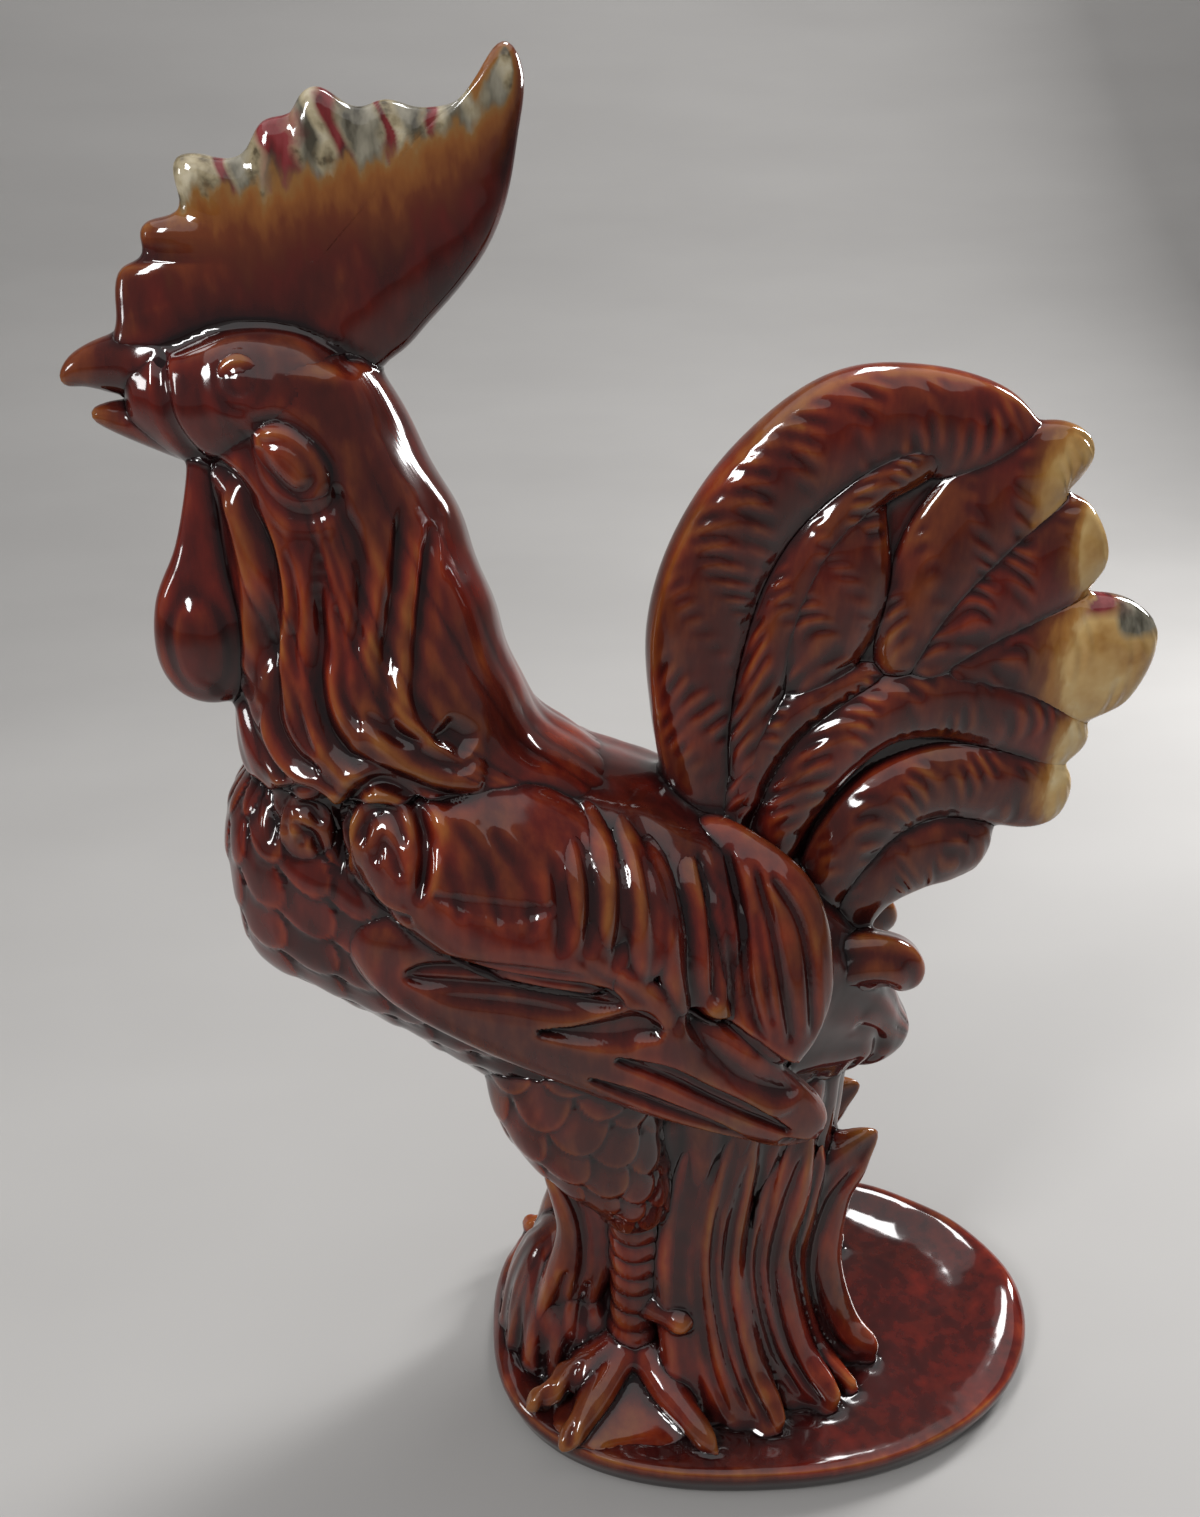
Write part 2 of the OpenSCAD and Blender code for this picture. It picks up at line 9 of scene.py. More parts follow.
# %% Load the frame
import json
import bpy
import numpy as np
import openvdb
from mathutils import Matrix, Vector

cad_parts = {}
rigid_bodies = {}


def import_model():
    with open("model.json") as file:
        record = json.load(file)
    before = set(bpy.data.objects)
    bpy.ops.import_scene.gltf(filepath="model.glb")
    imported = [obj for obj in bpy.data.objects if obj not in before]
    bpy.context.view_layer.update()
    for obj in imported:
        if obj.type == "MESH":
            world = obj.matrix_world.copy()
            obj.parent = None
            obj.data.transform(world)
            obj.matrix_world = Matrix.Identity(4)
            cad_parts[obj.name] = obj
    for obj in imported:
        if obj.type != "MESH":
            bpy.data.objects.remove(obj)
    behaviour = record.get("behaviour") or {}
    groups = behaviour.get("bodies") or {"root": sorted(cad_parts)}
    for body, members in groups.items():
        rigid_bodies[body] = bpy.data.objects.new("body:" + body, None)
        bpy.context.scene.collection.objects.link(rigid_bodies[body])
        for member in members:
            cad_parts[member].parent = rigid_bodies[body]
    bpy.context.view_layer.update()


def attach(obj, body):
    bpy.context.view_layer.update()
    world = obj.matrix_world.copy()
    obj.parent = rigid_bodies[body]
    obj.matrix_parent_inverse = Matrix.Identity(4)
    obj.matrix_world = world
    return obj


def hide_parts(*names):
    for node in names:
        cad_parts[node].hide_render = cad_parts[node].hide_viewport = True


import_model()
scene = bpy.context.scene
MM = 0.001

# %% [markdown]
# ## Camera
# The picture was taken from close by and from above, so the head looms and the base falls away. The
# two table edges gave the tilt, about 26 degrees down. A plain camera with a 30 mm lens on a 36 mm
# frame repeats it.

# %% Camera
camera = bpy.data.objects.new("photo_camera", bpy.data.cameras.new("photo_camera"))
scene.collection.objects.link(camera)
camera.data.sensor_width = 36.0
camera.data.lens = 29.9
camera.data.clip_start = 0.01
camera.location = (-0.0584, -0.2335, 0.283)
view_line = Vector((0.0628, 0.8985, -0.4346))
camera.rotation_euler = view_line.to_track_quat("-Z", "Y").to_euler()
scene.camera = camera
print("camera at", tuple(round(c, 3) for c in camera.location))

# %% [markdown]
# ## One way to model every clay form
# Modelled clay forms are rolls and leaves: a path, and a rounded section that grows and shrinks
# along it. The path is a smooth curve through a few rows of numbers, in millimetres. Soft steps and
# bumps shape whatever is raised or cut on it.

# %% Curves
TINY = 1e-9


def path(rows, u):
    """Smooth curve through rows of numbers; u runs from 0 to 1."""
    rows = np.asarray(rows, float)
    n = len(rows) - 1
    i = np.clip(np.floor(u * n).astype(int), 0, n - 1)
    t = (u * n - i)[:, None]
    p0, p1, p2, p3 = (rows[np.clip(i + k, 0, n)] for k in (-1, 0, 1, 2))
    return 0.5 * (2 * p1 + (p2 - p0) * t + (2 * p0 - 5 * p1 + 4 * p2 - p3) * t**2
                  + (3 * p1 - p0 - 3 * p2 + p3) * t**3)


def unit(v):
    return v / np.maximum(np.linalg.norm(v, axis=-1, keepdims=True), TINY)


def smooth(lo, hi, x):
    """Soft step from 0 at lo to 1 at hi."""
    t = np.clip((x - lo) / (hi - lo), 0, 1)
    return t * t * (3 - 2 * t)


def bump(x, width):
    """Soft hump of height 1 round x = 0."""
    return np.exp(-((x / width) ** 2))


def bow(c, full):
    """Cosine or sine bent outwards for a fuller section."""
    return np.sign(c) * np.abs(c) ** (2 / full)


print("soft step half way:", smooth(0, 1, 0.5))

# %% [markdown]
# ## Rings along a path
# One function lofts rings of points along a path of [x, y, z, half depth, half width] rows. Big
# relief (locks, scales, flutes) moves the points before the forms are joined. Fine relief is kept
# for later, because the soft joining would wash it out.

# %% Loft
TANGENT_STEP = 0.004
SMALLEST_RING = 0.004


def closed(rings, pressed=None):
    """Closes a grid of rings with one point at each end."""
    n, m, _ = rings.shape
    i, j = np.meshgrid(np.arange(n - 1), np.arange(m), indexing="ij")
    k = (j + 1) % m
    quads = np.stack([i * m + j, i * m + k, (i + 1) * m + k, (i + 1) * m + j], -1).reshape(-1, 4)
    j = np.arange(m)
    k = (j + 1) % m
    first = np.stack([k, j, np.full(m, n * m)], -1)
    last = np.stack([(n - 1) * m + j, (n - 1) * m + k, np.full(m, n * m + 1)], -1)
    verts = np.vstack([rings.reshape(-1, 3), rings[0].mean(0), rings[-1].mean(0)])
    heights = np.zeros(len(verts))
    if pressed is not None:
        heights[:n * m] = pressed.ravel()
    return verts, quads, np.vstack([first, last]), heights


def loft(rows, steps, around, ends=(0.1, 0.1), ref=(0, 1, 0), full=2.0, wider=(1, 1),
         level=False, relief=None, fine=None):
    """Closed form: vertices, quads, triangles and the fine relief still to be pressed in.
    ends are the shares of the path that round off. wider stretches the half depth on the near and
    the far side of the path, and level keeps the sections flat."""
    s = np.linspace(0, 1, steps + 1)
    u = 0.5 * s + 0.25 - 0.25 * np.cos(np.pi * s)
    r = path(rows, u)
    t = unit(path(rows, u + TANGENT_STEP)[:, :3] - path(rows, u - TANGENT_STEP)[:, :3])
    if level:
        t = unit(t * (0, 0, 1))
    n = unit(np.cross(np.asarray(ref, float), t))
    w = np.cross(t, n)
    cap = [np.sqrt(np.clip(1 - (1 - np.clip(d / e, 0, 1)) ** 2, SMALLEST_RING, 1))
           for d, e in zip((u, 1 - u), ends)]
    k = cap[0] * cap[1]
    a = np.linspace(0, 2 * np.pi, around, endpoint=False)
    depth = bow(np.cos(a), full) * np.where(np.cos(a) < 0, wider[0], wider[1])
    width = bow(np.sin(a), full)
    points = (r[:, None, :3] + n[:, None] * (r[:, 3] * k)[:, None, None] * depth[None, :, None]
              + w[:, None] * (r[:, 4] * k)[:, None, None] * width[None, :, None])
    length = np.linalg.norm(np.diff(r[:, :3], axis=0), axis=1).sum()
    place = u[:, None], a[None], length
    flat = np.zeros(points.shape[:2])
    pressed = flat + (fine(*place, points) * k[:, None] if fine else 0)
    if relief:
        around_it = np.roll(points, -1, 1) - np.roll(points, 1, 1)
        out = unit(np.cross(around_it, np.gradient(points, axis=0)))
        points = points + out * (flat + relief(*place, points) * k[:, None])[..., None]
    return closed(points, pressed)


print("points of a round test roll:", len(loft([[0, 0, 0, 5, 5], [0, 0, 9, 5, 5]], 20, 24)[0]))

# %% [markdown]
# ## Luting shells together
# A maker lutes small rolls together with slip: the toes of a foot, the blades of a tuft. Each shell
# is turned into distances on a block of small cells, the nearest one wins, and one skin is drawn
# round the result. The left and right half of the mould give the same form twice.

# %% Luting
BAND, MARGIN = 5, 6
LUTING_BLUR = 0.8
forms = {}


def distance(form, cell, low, shape):
    """Signed distance to a closed form, on a block of cells, in millimetres."""
    verts, quads, tris, _ = form
    faces = {"quads": np.ascontiguousarray(quads, np.uint32)}
    if len(tris):
        faces["triangles"] = np.ascontiguousarray(tris, np.uint32)
    level = openvdb.FloatGrid.createLevelSetFromPolygons(
        np.ascontiguousarray(verts - low, np.float32), halfWidth=float(BAND),
        transform=openvdb.createLinearTransform(cell), **faces)
    block = np.empty(shape, np.float32)
    level.copyToArray(block)
    return block


def blurred(block, sigma):
    """Gaussian blur, one axis at a time; sigma in cells."""
    for axis in range(block.ndim):
        size = block.shape[axis]
        gain = np.exp(-2 * (np.pi * sigma * np.fft.rfftfreq(size)) ** 2)
        gain = gain.reshape([-1 if axis == k else 1 for k in range(block.ndim)])
        waves = np.fft.rfft(block, axis=axis) * gain.astype(np.float32)
        block = np.fft.irfft(waves, size, axis).astype(np.float32)
    return block


def luted(shells, cell=0.5):
    """Several closed shells of one form joined into a single skin."""
    low = np.min([s[0].min(0) for s in shells], 0) - MARGIN * cell
    high = np.max([s[0].max(0) for s in shells], 0)
    shape = tuple(int(c) for c in np.ceil((high - low) / cell) + MARGIN + 1)
    block = np.min([distance(s, cell, low, shape) for s in shells], 0)
    grid = openvdb.FloatGrid(BAND * cell)
    grid.transform = openvdb.createLinearTransform(cell)
    grid.copyFromArray(blurred(block, LUTING_BLUR))
    verts, quads = grid.convertToQuads(0.0)
    verts, quads = verts.astype(float) + low, quads.astype(int)
    p = verts[quads]
    area = np.cross(p[:, 1], p[:, 2]) + np.cross(p[:, 2], p[:, 3])
    inward = np.einsum("ij,ij->i", p[:, 0], area).sum() < 0
    tris, heights = np.zeros((0, 3), int), np.zeros(len(verts))
    return verts, quads[:, ::-1] if inward else quads, tris, heights


def pair(name, form):
    """The same form on the bird's left and right side, as the two halves of the mould give."""
    verts, quads, tris, heights = form
    forms["left_" + name] = form
    forms["right_" + name] = (verts * (1, -1, 1), quads[:, ::-1], tris[:, ::-1], heights)


print("cells kept beside a skin:", BAND)

# %% [markdown]
# ## Base and ground
# The base is an oval dish on a flat foot, with a soft rim where the glaze gathers, higher behind
# than in front. Rings of one oval outline are carried up over the rim and into the dish. Low waves
# keep it from looking turned: it was modelled by hand. The earth under the feet is a low heap with
# a tuft of grass in front, whose sides are fluted.

# %% Base
RING_STEPS = 12
FLUTES_ROUND, FLUTE_TWIST, FLUTE_LEVEL = 8, 14, 0.7
WAVES_FROM = (5, 8)
DISH_LEVEL = 8.0
FRONT_FLATTENED = 0.95
dish = [
    (0.965, 0), (0.98, 0.6), (0.985, 3), (1, 5), (1, 8), (0.985, 10.6), (0.95, 12), (0.9, 11.6),
    (0.84, 10.2), (0.76, 8.8), (0.66, 8.2), (0.4, 8), (0.1, 8)]
soil = [
    (1, 6), (0.97, 8), (0.9, 9), (0.8, 10.5), (0.66, 13), (0.5, 16), (0.3, 19), (0.15, 20.5),
    (0.04, 21)]
tuft = [(1, 4), (0.99, 9), (0.95, 14), (0.88, 21), (0.77, 28), (0.57, 35), (0.3, 39), (0.04, 40)]


def hand_waves(x, y):
    """Low uneven waves, some 30 to 60 mm long."""
    return np.sin(x / 9 + 1) * np.cos(y / 7) + np.sin(x / 5 - y / 6)


def turned(profile, around, size, middle, front_full, wave, flutes=0.0):
    """Rings of an oval, carried along a profile of (share of the size, height) rows."""
    a = np.linspace(0, 2 * np.pi, around, endpoint=False)
    rows = path(profile, np.linspace(0, 1, RING_STEPS * len(profile)))
    full = np.where(np.cos(a) < 0, front_full, 2.0)
    height = rows[:, 1:2]
    fluting = np.abs(np.sin(FLUTES_ROUND * a + height / FLUTE_TWIST)) - FLUTE_LEVEL
    share = rows[:, :1] * (1 + flutes * fluting)
    x = middle[0] + size[0] * share * bow(np.cos(a), full)
    y = middle[1] + size[1] * share * bow(np.sin(a), full)
    z = height + wave * smooth(*WAVES_FROM, height) * hand_waves(x, y)
    return np.stack([x, y, z], -1)


rings = turned(dish, 200, (70, 47), (0, 0), front_full=2.5, wave=0.25)
front_low = FRONT_FLATTENED * smooth(-5, 35, -rings[..., 1])
rings[..., 2] -= front_low * np.maximum(rings[..., 2] - DISH_LEVEL, 0)
forms["base_plinth"] = closed(rings)
heap = turned(soil, 180, (31, 41), (-37, 0), front_full=2.0, wave=0.8)
front_tuft = turned(tuft, 220, (19.5, 21.5), (-49, 0), front_full=2.0, wave=0.5, flutes=0.08)
forms["ground_mound"] = luted([closed(heap), closed(front_tuft)], 0.6)
print("base:", {name: len(form[0]) for name, form in forms.items()})

# %% [markdown]
# ## Grass clump
# A bird cannot stand on two thin clay legs, so the maker put a clump of grass under it. Each blade
# is a leaf with a channel along its middle and a flared foot. The core behind is ribbed, so the
# gaps between blades look like more grass.

# %% Grass
RIBS_ROUND, RIB_HEIGHT = 11, 1.4
CHANNEL_DEPTH = 1.9
core_rows = [
    [-14, 0, 6, 36, 27], [-14, 0, 16, 31, 22], [-15, 0, 34, 27, 19], [-16, 0, 56, 28, 19],
    [-18, 0, 78, 32, 22], [-20, 0, 100, 34, 24]]
blade_rows = [
    [[-5, -37, 6.5, 6, 1.2], [-8, -32, 11, 6.5, 3.4], [-12, -26, 22, 6, 4.5],
     [-16, -21, 46, 5.5, 4.5], [-15, -21, 70, 5, 4.5], [-10, -22, 98, 3, 3]],
    [[11, -32, 6.5, 6, 1.2], [6.5, -28, 10.5, 6.5, 3.4], [1, -23, 20, 6, 4.5],
     [-4, -19, 46, 5.5, 4.5], [-1, -19, 68, 5, 4.5], [3, -19, 92, 2.5, 2.5]],
    [[25, -18, 6.5, 6, 1.2], [20, -17, 9.5, 7, 3.4], [13.5, -15, 18, 7, 5], [8.5, -13, 38, 6.5, 5],
     [10, -11, 57, 6, 5], [16, -10, 69, 5, 4.5], [25, -8, 75, 1.6, 1.6]],
    [[-54, -10, 20, 6, 5], [-49, -11, 34, 6.5, 5], [-46, -11, 50, 6, 5], [-49, -11, 64, 5, 4],
     [-56, -11, 75, 2.2, 2]],
    [[-19, -33, 6.5, 5, 1.2], [-20.5, -29, 11.5, 5.5, 3.4], [-23, -24, 24, 5, 4.5],
     [-25, -20, 46, 4.5, 4.5], [-24, -20, 68, 4.5, 4], [-21, -22, 92, 3, 3]],
    [[18, -27, 6.5, 4, 1.2], [13, -23.5, 10, 4, 2.8], [7, -19, 18, 3.6, 4], [2, -16, 40, 3.4, 4],
     [4, -15, 58, 3, 4], [9, -14, 76, 1.6, 2]]]


def ribbed(u, a, length, points):
    return 1.2 + RIB_HEIGHT * (np.abs(np.sin(RIBS_ROUND * a + 1.5 * np.sin(3 * u))) - 0.6)


def channel(u, a, length, points):
    return 0.6 - CHANNEL_DEPTH * bump(np.abs(np.sin(a)) - 1, 0.16) * smooth(0.02, 0.15, u)


forms["grass_core"] = loft(core_rows, 110, 260, (0.02, 0.1), relief=ribbed)
blades = [loft(rows, 80, 64, (0.06, 0.2), wider=(1.15, 1.15), relief=channel)
          for rows in blade_rows]
pair("grass", luted(blades))
print("grass:", len(forms["left_grass"][0]))

# %% [markdown]
# ## Legs
# Shanks carry rings of horny scales, thighs carry round feathers like fish scales, and the toes lie
# on the mound. Rings are a wave along the loft. The round feathers are tongues laid in staggered
# rows, each over the next.

# %% Legs
RING_PITCH, RING_HEIGHT = 5.6, 0.8
SCALE_PITCH, SCALE_HEIGHT, SCALES_ROUND = 6.0, 1.7, 8
KNUCKLE_HEIGHT = 0.2
TONGUE_LENGTH, TONGUE_HALF = 1.75, 0.56
shank_rows = [
    [-35, -17, 12, 6, 6], [-35, -17, 20, 5.5, 5.5], [-35, -17, 40, 5, 5], [-35, -17, 58, 5.5, 5.5],
    [-35, -17, 68, 6, 6]]
thigh_rows = [
    [-50, -17, 112, 18, 14], [-48, -19, 98, 17, 13], [-42, -20, 84, 13, 11], [-37, -19, 73, 9, 9],
    [-35, -17, 62, 7, 7]]
toe_rows = [
    [[-37, -18, 21, 4.5, 4.5], [-46, -22, 18, 4, 4], [-56, -26.5, 14.5, 3.2, 3.2],
     [-63, -29.5, 11, 1.2, 1.4]],
    [[-36, -19, 21, 4.5, 4.5], [-43, -27, 16.5, 4, 4], [-50, -35, 12.5, 3.4, 3.4],
     [-55, -40, 9.5, 1.2, 1.4]],
    [[-34, -19, 21, 4.5, 4.5], [-29, -27, 16, 4, 4], [-22, -36, 12, 3.4, 3.4],
     [-17, -42, 9, 1.2, 1.4]],
    [[-34, -18, 34, 4, 4], [-28, -23, 35, 3.2, 3.2], [-23, -28, 33.5, 2.4, 2.4]]]


def tongues(s, t, pitch, width):
    """Height from 0 to 1 of rounded feathers in staggered rows; s runs to their tips, t across."""
    best = np.zeros(np.broadcast(s, t).shape)
    for back in (0, 1, 2):
        row = np.floor(s / pitch) - back
        x = np.mod(t - (row % 2) * width / 2 + width / 2, width) - width / 2
        y = (s - row * pitch) / (TONGUE_LENGTH * pitch)
        inside = 1 - np.abs(y) ** 2.5 - (np.abs(x) / (TONGUE_HALF * width)) ** 2.2
        rise = (0.35 + 0.65 * y) * smooth(0, 0.3, inside)
        best = np.where((inside > 0) & (y <= 1), np.maximum(best, rise), best)
    return best


def ringed(u, a, length, points):
    return RING_HEIGHT * np.abs(np.sin(np.pi * points[..., 2] / RING_PITCH)) ** 0.6


def knuckles(u, a, length, points):
    return KNUCKLE_HEIGHT * np.cos(5 * np.pi * u) * smooth(0, 0.2, 1 - u)


def leg_scales(u, a, length, points):
    scales = tongues(u * length + 40, a, SCALE_PITCH, 2 * np.pi / SCALES_ROUND)
    return SCALE_HEIGHT * scales * smooth(0, 0.1, 1 - u)


pair("shank", loft(shank_rows, 150, 64, (0.05, 0.05), relief=ringed))
pair("thigh", loft(thigh_rows, 130, 180, (0.05, 0.12), relief=leg_scales))
toes = [loft(rows, 80, 40, (0.15, 0.2), ref=(0, 0, 1), relief=knuckles) for rows in toe_rows]
pair("foot", luted(toes))
print("legs:", len(forms["left_thigh"][0]), len(forms["left_foot"][0]))

# %% [markdown]
# ## Body
# The trunk is an egg leaning back. Round breast feathers cover its front and underside. They spread
# in rings from a pole hidden under the neck, so that no point of the breast shows where the rows
# would run together. The back is smooth with long soft flutes running to the tail, so the tongues
# fade out there, above a line given as [x, z] points.

# %% Body
CROP_X, CROP_Z = -60, 140
BREAST_RADIUS, BREAST_PITCH, BREAST_ROUND, BREAST_HEIGHT = 50, 7.5, 20, 2.0
BACK_FLUTES, BACK_HEIGHT = 14, 0.35
body_rows = [
    [-118, 0, 153, 4, 4], [-111, 0, 153, 21, 20], [-92, 0, 151, 28, 28.4], [-70, 0, 145, 33, 33],
    [-48, 0, 134, 37, 33], [-26, 0, 124, 35, 31], [-6, 0, 115, 28, 25.7], [12, 0, 106, 17, 15.7],
    [22, 0, 100, 9, 9], [29, 0, 96, 4, 4]]
feather_line = [[-110, 175], [-90, 160], [-60, 132], [-20, 104], [20, 95]]


def plumage(u, a, length, points):
    x, y, z = np.moveaxis(points, -1, 0)
    ahead, up = -(x - CROP_X), z - CROP_Z
    far = np.hypot(np.hypot(ahead, up), y)
    away = np.arccos(np.clip((ahead + up) / far / np.sqrt(2), -1, 1))
    round_it = np.arctan2(y, (ahead - up) / np.sqrt(2))
    front = 1 - smooth(-6, 10, z - np.interp(x, *np.transpose(feather_line)))
    feathers_on = tongues(BREAST_RADIUS * away, round_it, BREAST_PITCH, 2 * np.pi / BREAST_ROUND)
    back = BACK_HEIGHT * np.cos(a * BACK_FLUTES + 0.8 * np.sin(x / 14))
    return BREAST_HEIGHT * feathers_on * front + back * (1 - front)


forms["body"] = loft(body_rows, 260, 320, (0.06, 0.06), full=2.5, relief=plumage)
print("body:", len(forms["body"][0]))

# %% [markdown]
# ## Neck hackle
# Long narrow feathers flow down the neck like combed hair and sweep back over the shoulders, where
# they end in a rolled lip. A coordinate turns from the throat towards the nape as it goes down; the
# locks are cut across it at listed, uneven places.

# %% Neck
COLLAR = 175.0
LOCK_HEIGHT, COLLAR_DROP, LUMP_HEIGHT, HAIR_HEIGHT = 0.6, 4.0, 0.3, 0.07
HAIRS_IN_LOCK = 2.5
neck_rows = [
    [-97, 0, 253, 14, 14], [-95, 0, 240, 18, 17.5], [-91, 0, 222, 22.5, 20], [-88, 0, 205, 25, 23],
    [-86, 0, 192, 27, 27.9], [-84, 0, 181, 30, 30.1], [-79, 0, 173, 35, 31], [-75, 0, 165, 40, 31],
    [-72, 0, 159, 43, 30]]
lock_edges = [-0.25, -0.1, 0, 0.11, 0.26, 0.35, 0.5, 0.58, 0.74, 0.85, 1, 1.2]


def hackle_flow(u, a):
    """Turn from throat (0) to nape (1), and the number of the lock at that place."""
    turn = np.arccos(np.clip(np.cos(a), -1, 1)) / np.pi
    sway = 0.06 * u + 0.26 * smooth(0.45, 0.92, u) - 0.05 * np.sin(2.6 * np.pi * u)
    flow = turn - sway * np.sin(np.pi * turn) + 0.02 * np.sin(6 * u + 9 * turn)
    return turn, np.interp(flow, lock_edges, np.arange(len(lock_edges)))


def locks(u, a, length, points):
    turn, lock = hackle_flow(u, a)
    z = points[..., 2]
    crown = LOCK_HEIGHT * np.sin(np.pi * (lock - np.floor(lock))) ** 0.6
    below = COLLAR + 3 * np.sin(np.pi * turn) - z
    drop = COLLAR_DROP * smooth(0, 4, below) * (1 - smooth(0.68, 0.85, turn))
    calm = smooth(0.1, 0.3, u) * (1 - 0.3 * smooth(0.6, 0.9, turn))
    lumps = LUMP_HEIGHT * np.sin(z / 2.9 + 3 * np.sin(a))
    lumps = lumps * smooth(0.65, 0.9, turn) * smooth(0, 4, z - COLLAR)
    return (crown - 0.4) * calm + lumps - drop


def strands(u, a, length, points):
    turn, lock = hackle_flow(u, a)
    part = lock - np.floor(lock)
    wander = 2.5 * np.sin(7 * u + 2 * np.floor(lock))
    hair = HAIR_HEIGHT * np.cos(2 * np.pi * HAIRS_IN_LOCK * part + wander)
    return hair * np.sin(np.pi * part) * smooth(0.12, 0.3, u) * (1 - smooth(0.6, 0.9, turn))


forms["neck_hackle"] = loft(neck_rows, 230, 420, (0.05, 0.04), level=True,
                            relief=locks, fine=strands)
print("neck:", len(forms["neck_hackle"][0]))

# %% [markdown]
# ## Head
# The face is smooth clay with a faint eye, a drop-shaped ear lobe, and two wattles that hang like
# drops with a soft border round an oval field. Everything here is soft, so plain lofts do.

# %% Head
EYE_X, EYE_Z, EYE_RADIUS = -103, 249, 3.6
FIELD_X, FIELD_Z, FIELD_HALF_X, FIELD_HALF_Z, FIELD_GROOVE = -116, 202, 5.5, 10, 0.8
head_rows = [
    [-125, 0, 246, 6, 6], [-119, 0, 245, 10, 10], [-111, 0, 244, 13, 14.5], [-101, 0, 244, 14, 17],
    [-92, 0, 243, 13, 15.5], [-86, 0, 242, 9, 11], [-83, 0, 241, 5, 5]]
upper_beak_rows = [
    [-137, 0, 246, 1.2, 1.5], [-133, 0, 248.5, 3.2, 3.2], [-127, 0, 249.5, 5, 5.2],
    [-120, 0, 249.5, 6, 7.5], [-113, 0, 248, 6, 9]]
lower_beak_rows = [
    [-133, 0, 241, 1.2, 1.6], [-129, 0, 240.5, 2.6, 3.2], [-123, 0, 239, 3.6, 5.5],
    [-115, 0, 237, 5, 7]]
lobe_rows = [
    [-101, -14.5, 241, 3, 3], [-97, -15.2, 238, 5, 3.8], [-93, -16, 233, 5, 3.8],
    [-91, -16, 229, 3, 3]]
wattle_rows = [
    [-112, -7, 236, 3, 2.6], [-112.5, -7.2, 227, 4.5, 3.2], [-113.5, -7.6, 217, 6.5, 4.4],
    [-115, -8.5, 207, 9.4, 7.4], [-115.5, -8.7, 197, 9.4, 7.6], [-115.5, -8, 189, 5, 5]]
eye_rows = [[EYE_X, y, EYE_Z, EYE_RADIUS, EYE_RADIUS] for y in (-11, -13, -14.2, -14.8, -15.2)]


def bordered(u, a, length, points):
    across = (points[..., 0] - FIELD_X) / FIELD_HALF_X
    off = np.hypot(across, (points[..., 2] - FIELD_Z) / FIELD_HALF_Z)
    return -FIELD_GROOVE * bump(off - 1, 0.22) * smooth(0.1, 0.6, np.abs(np.sin(a)))


forms["head"] = loft(head_rows, 90, 120, (0.08, 0.08))
forms["upper_beak"] = loft(upper_beak_rows, 60, 64, (0.05, 0.05))
forms["lower_beak"] = loft(lower_beak_rows, 60, 64, (0.06, 0.05))
pair("ear_lobe", loft(lobe_rows, 90, 90, (0.2, 0.2)))
pair("wattle", loft(wattle_rows, 100, 90, (0.1, 0.12), relief=bordered))
pair("eye", loft(eye_rows, 40, 60, (0.1, 0.5), ref=(0, 0, 1)))
print("face:", len(forms["head"][0]), len(forms["left_eye"][0]))

# %% [markdown]
# ## Comb
# The comb is a thick fan-shaped plate: flat sides, a rounded back edge and knobs along the top. Its
# outline is a smooth line of [x, z] points round the lobes, drawn in towards the middle in steps,
# and the thickness stays full until near the edge.

# %% Comb
EDGE_POINTS, LOBE_SPAN, FLAT_STEPS = 360, 41, 40
COMB_MIDDLE = np.array([-90, 266])
comb_edge = [
    [-124.5, 251], [-125, 258], [-124.5, 263], [-123, 265.5], [-120, 266.5], [-119, 268],
    [-119.5, 270.5], [-118, 272.5], [-113.5, 273.5], [-112, 275], [-112.5, 278.5], [-112.5, 281],
    [-111.5, 282.5], [-108, 282.7], [-105.5, 282], [-102.5, 282], [-100.5, 283], [-98.5, 286.2],
    [-97, 287.7], [-94.5, 288.2], [-92.5, 288.5], [-91, 291.2], [-88.5, 292.7], [-86, 291.8],
    [-83.5, 290], [-81, 289.5], [-77, 290.8], [-72, 289.5], [-66.5, 290], [-64, 291.5], [-62, 294],
    [-60, 297.3], [-58, 299.3], [-56, 298.6], [-54.5, 295], [-54.5, 291], [-55.5, 286],
    [-57, 278.5], [-59, 272.5], [-62, 267], [-66.5, 261.5], [-72, 256], [-78, 250.5], [-90, 245],
    [-108, 246]]
comb_half_at = [[250, 6.5], [266, 5.5], [285, 4.5], [300, 3.5]]


def plate(edge, middle, half_t, full, knob=0.0):
    """Flat form with rounded edges; knob swells it behind the lobes of its outline."""
    edge = np.asarray(edge, float)
    rows = np.vstack([edge[-1:], edge, edge[:2]])
    s = np.linspace(0, len(edge), EDGE_POINTS, endpoint=False)
    line = path(rows, (1 + s) / (len(edge) + 2)) - middle
    reach = np.linalg.norm(line, axis=1)
    mean = np.ones(LOBE_SPAN) / LOBE_SPAN
    lobe = reach - np.convolve(np.pad(reach, LOBE_SPAN // 2, "wrap"), mean, "valid")
    flat_part = np.arccos(np.linspace(0.02, 0.85, FLAT_STEPS) ** (full / 2))
    b = np.concatenate([flat_part, np.linspace(flat_part[-1], 0, FLAT_STEPS)[1:]])
    b = np.concatenate([-b, b[-2::-1]])
    share = np.cos(b) ** (2 / full)
    rise = np.sign(b) * np.abs(np.sin(b)) ** (2 / full)
    swell = 1 + knob * np.clip(lobe, -3, 3)[None] * smooth(0.55, 0.9, share)[:, None]
    flat = middle + line[None] * share[:, None, None]
    thick = half_t(flat[..., 1]) * rise[:, None] * swell
    return np.stack([flat[..., 0], thick, flat[..., 1]], -1)


def comb_half(z):
    return np.interp(z, *np.transpose(comb_half_at))


forms["comb"] = closed(plate(comb_edge, COMB_MIDDLE, comb_half, 4.0, knob=0.05))
print("comb:", len(forms["comb"][0]))

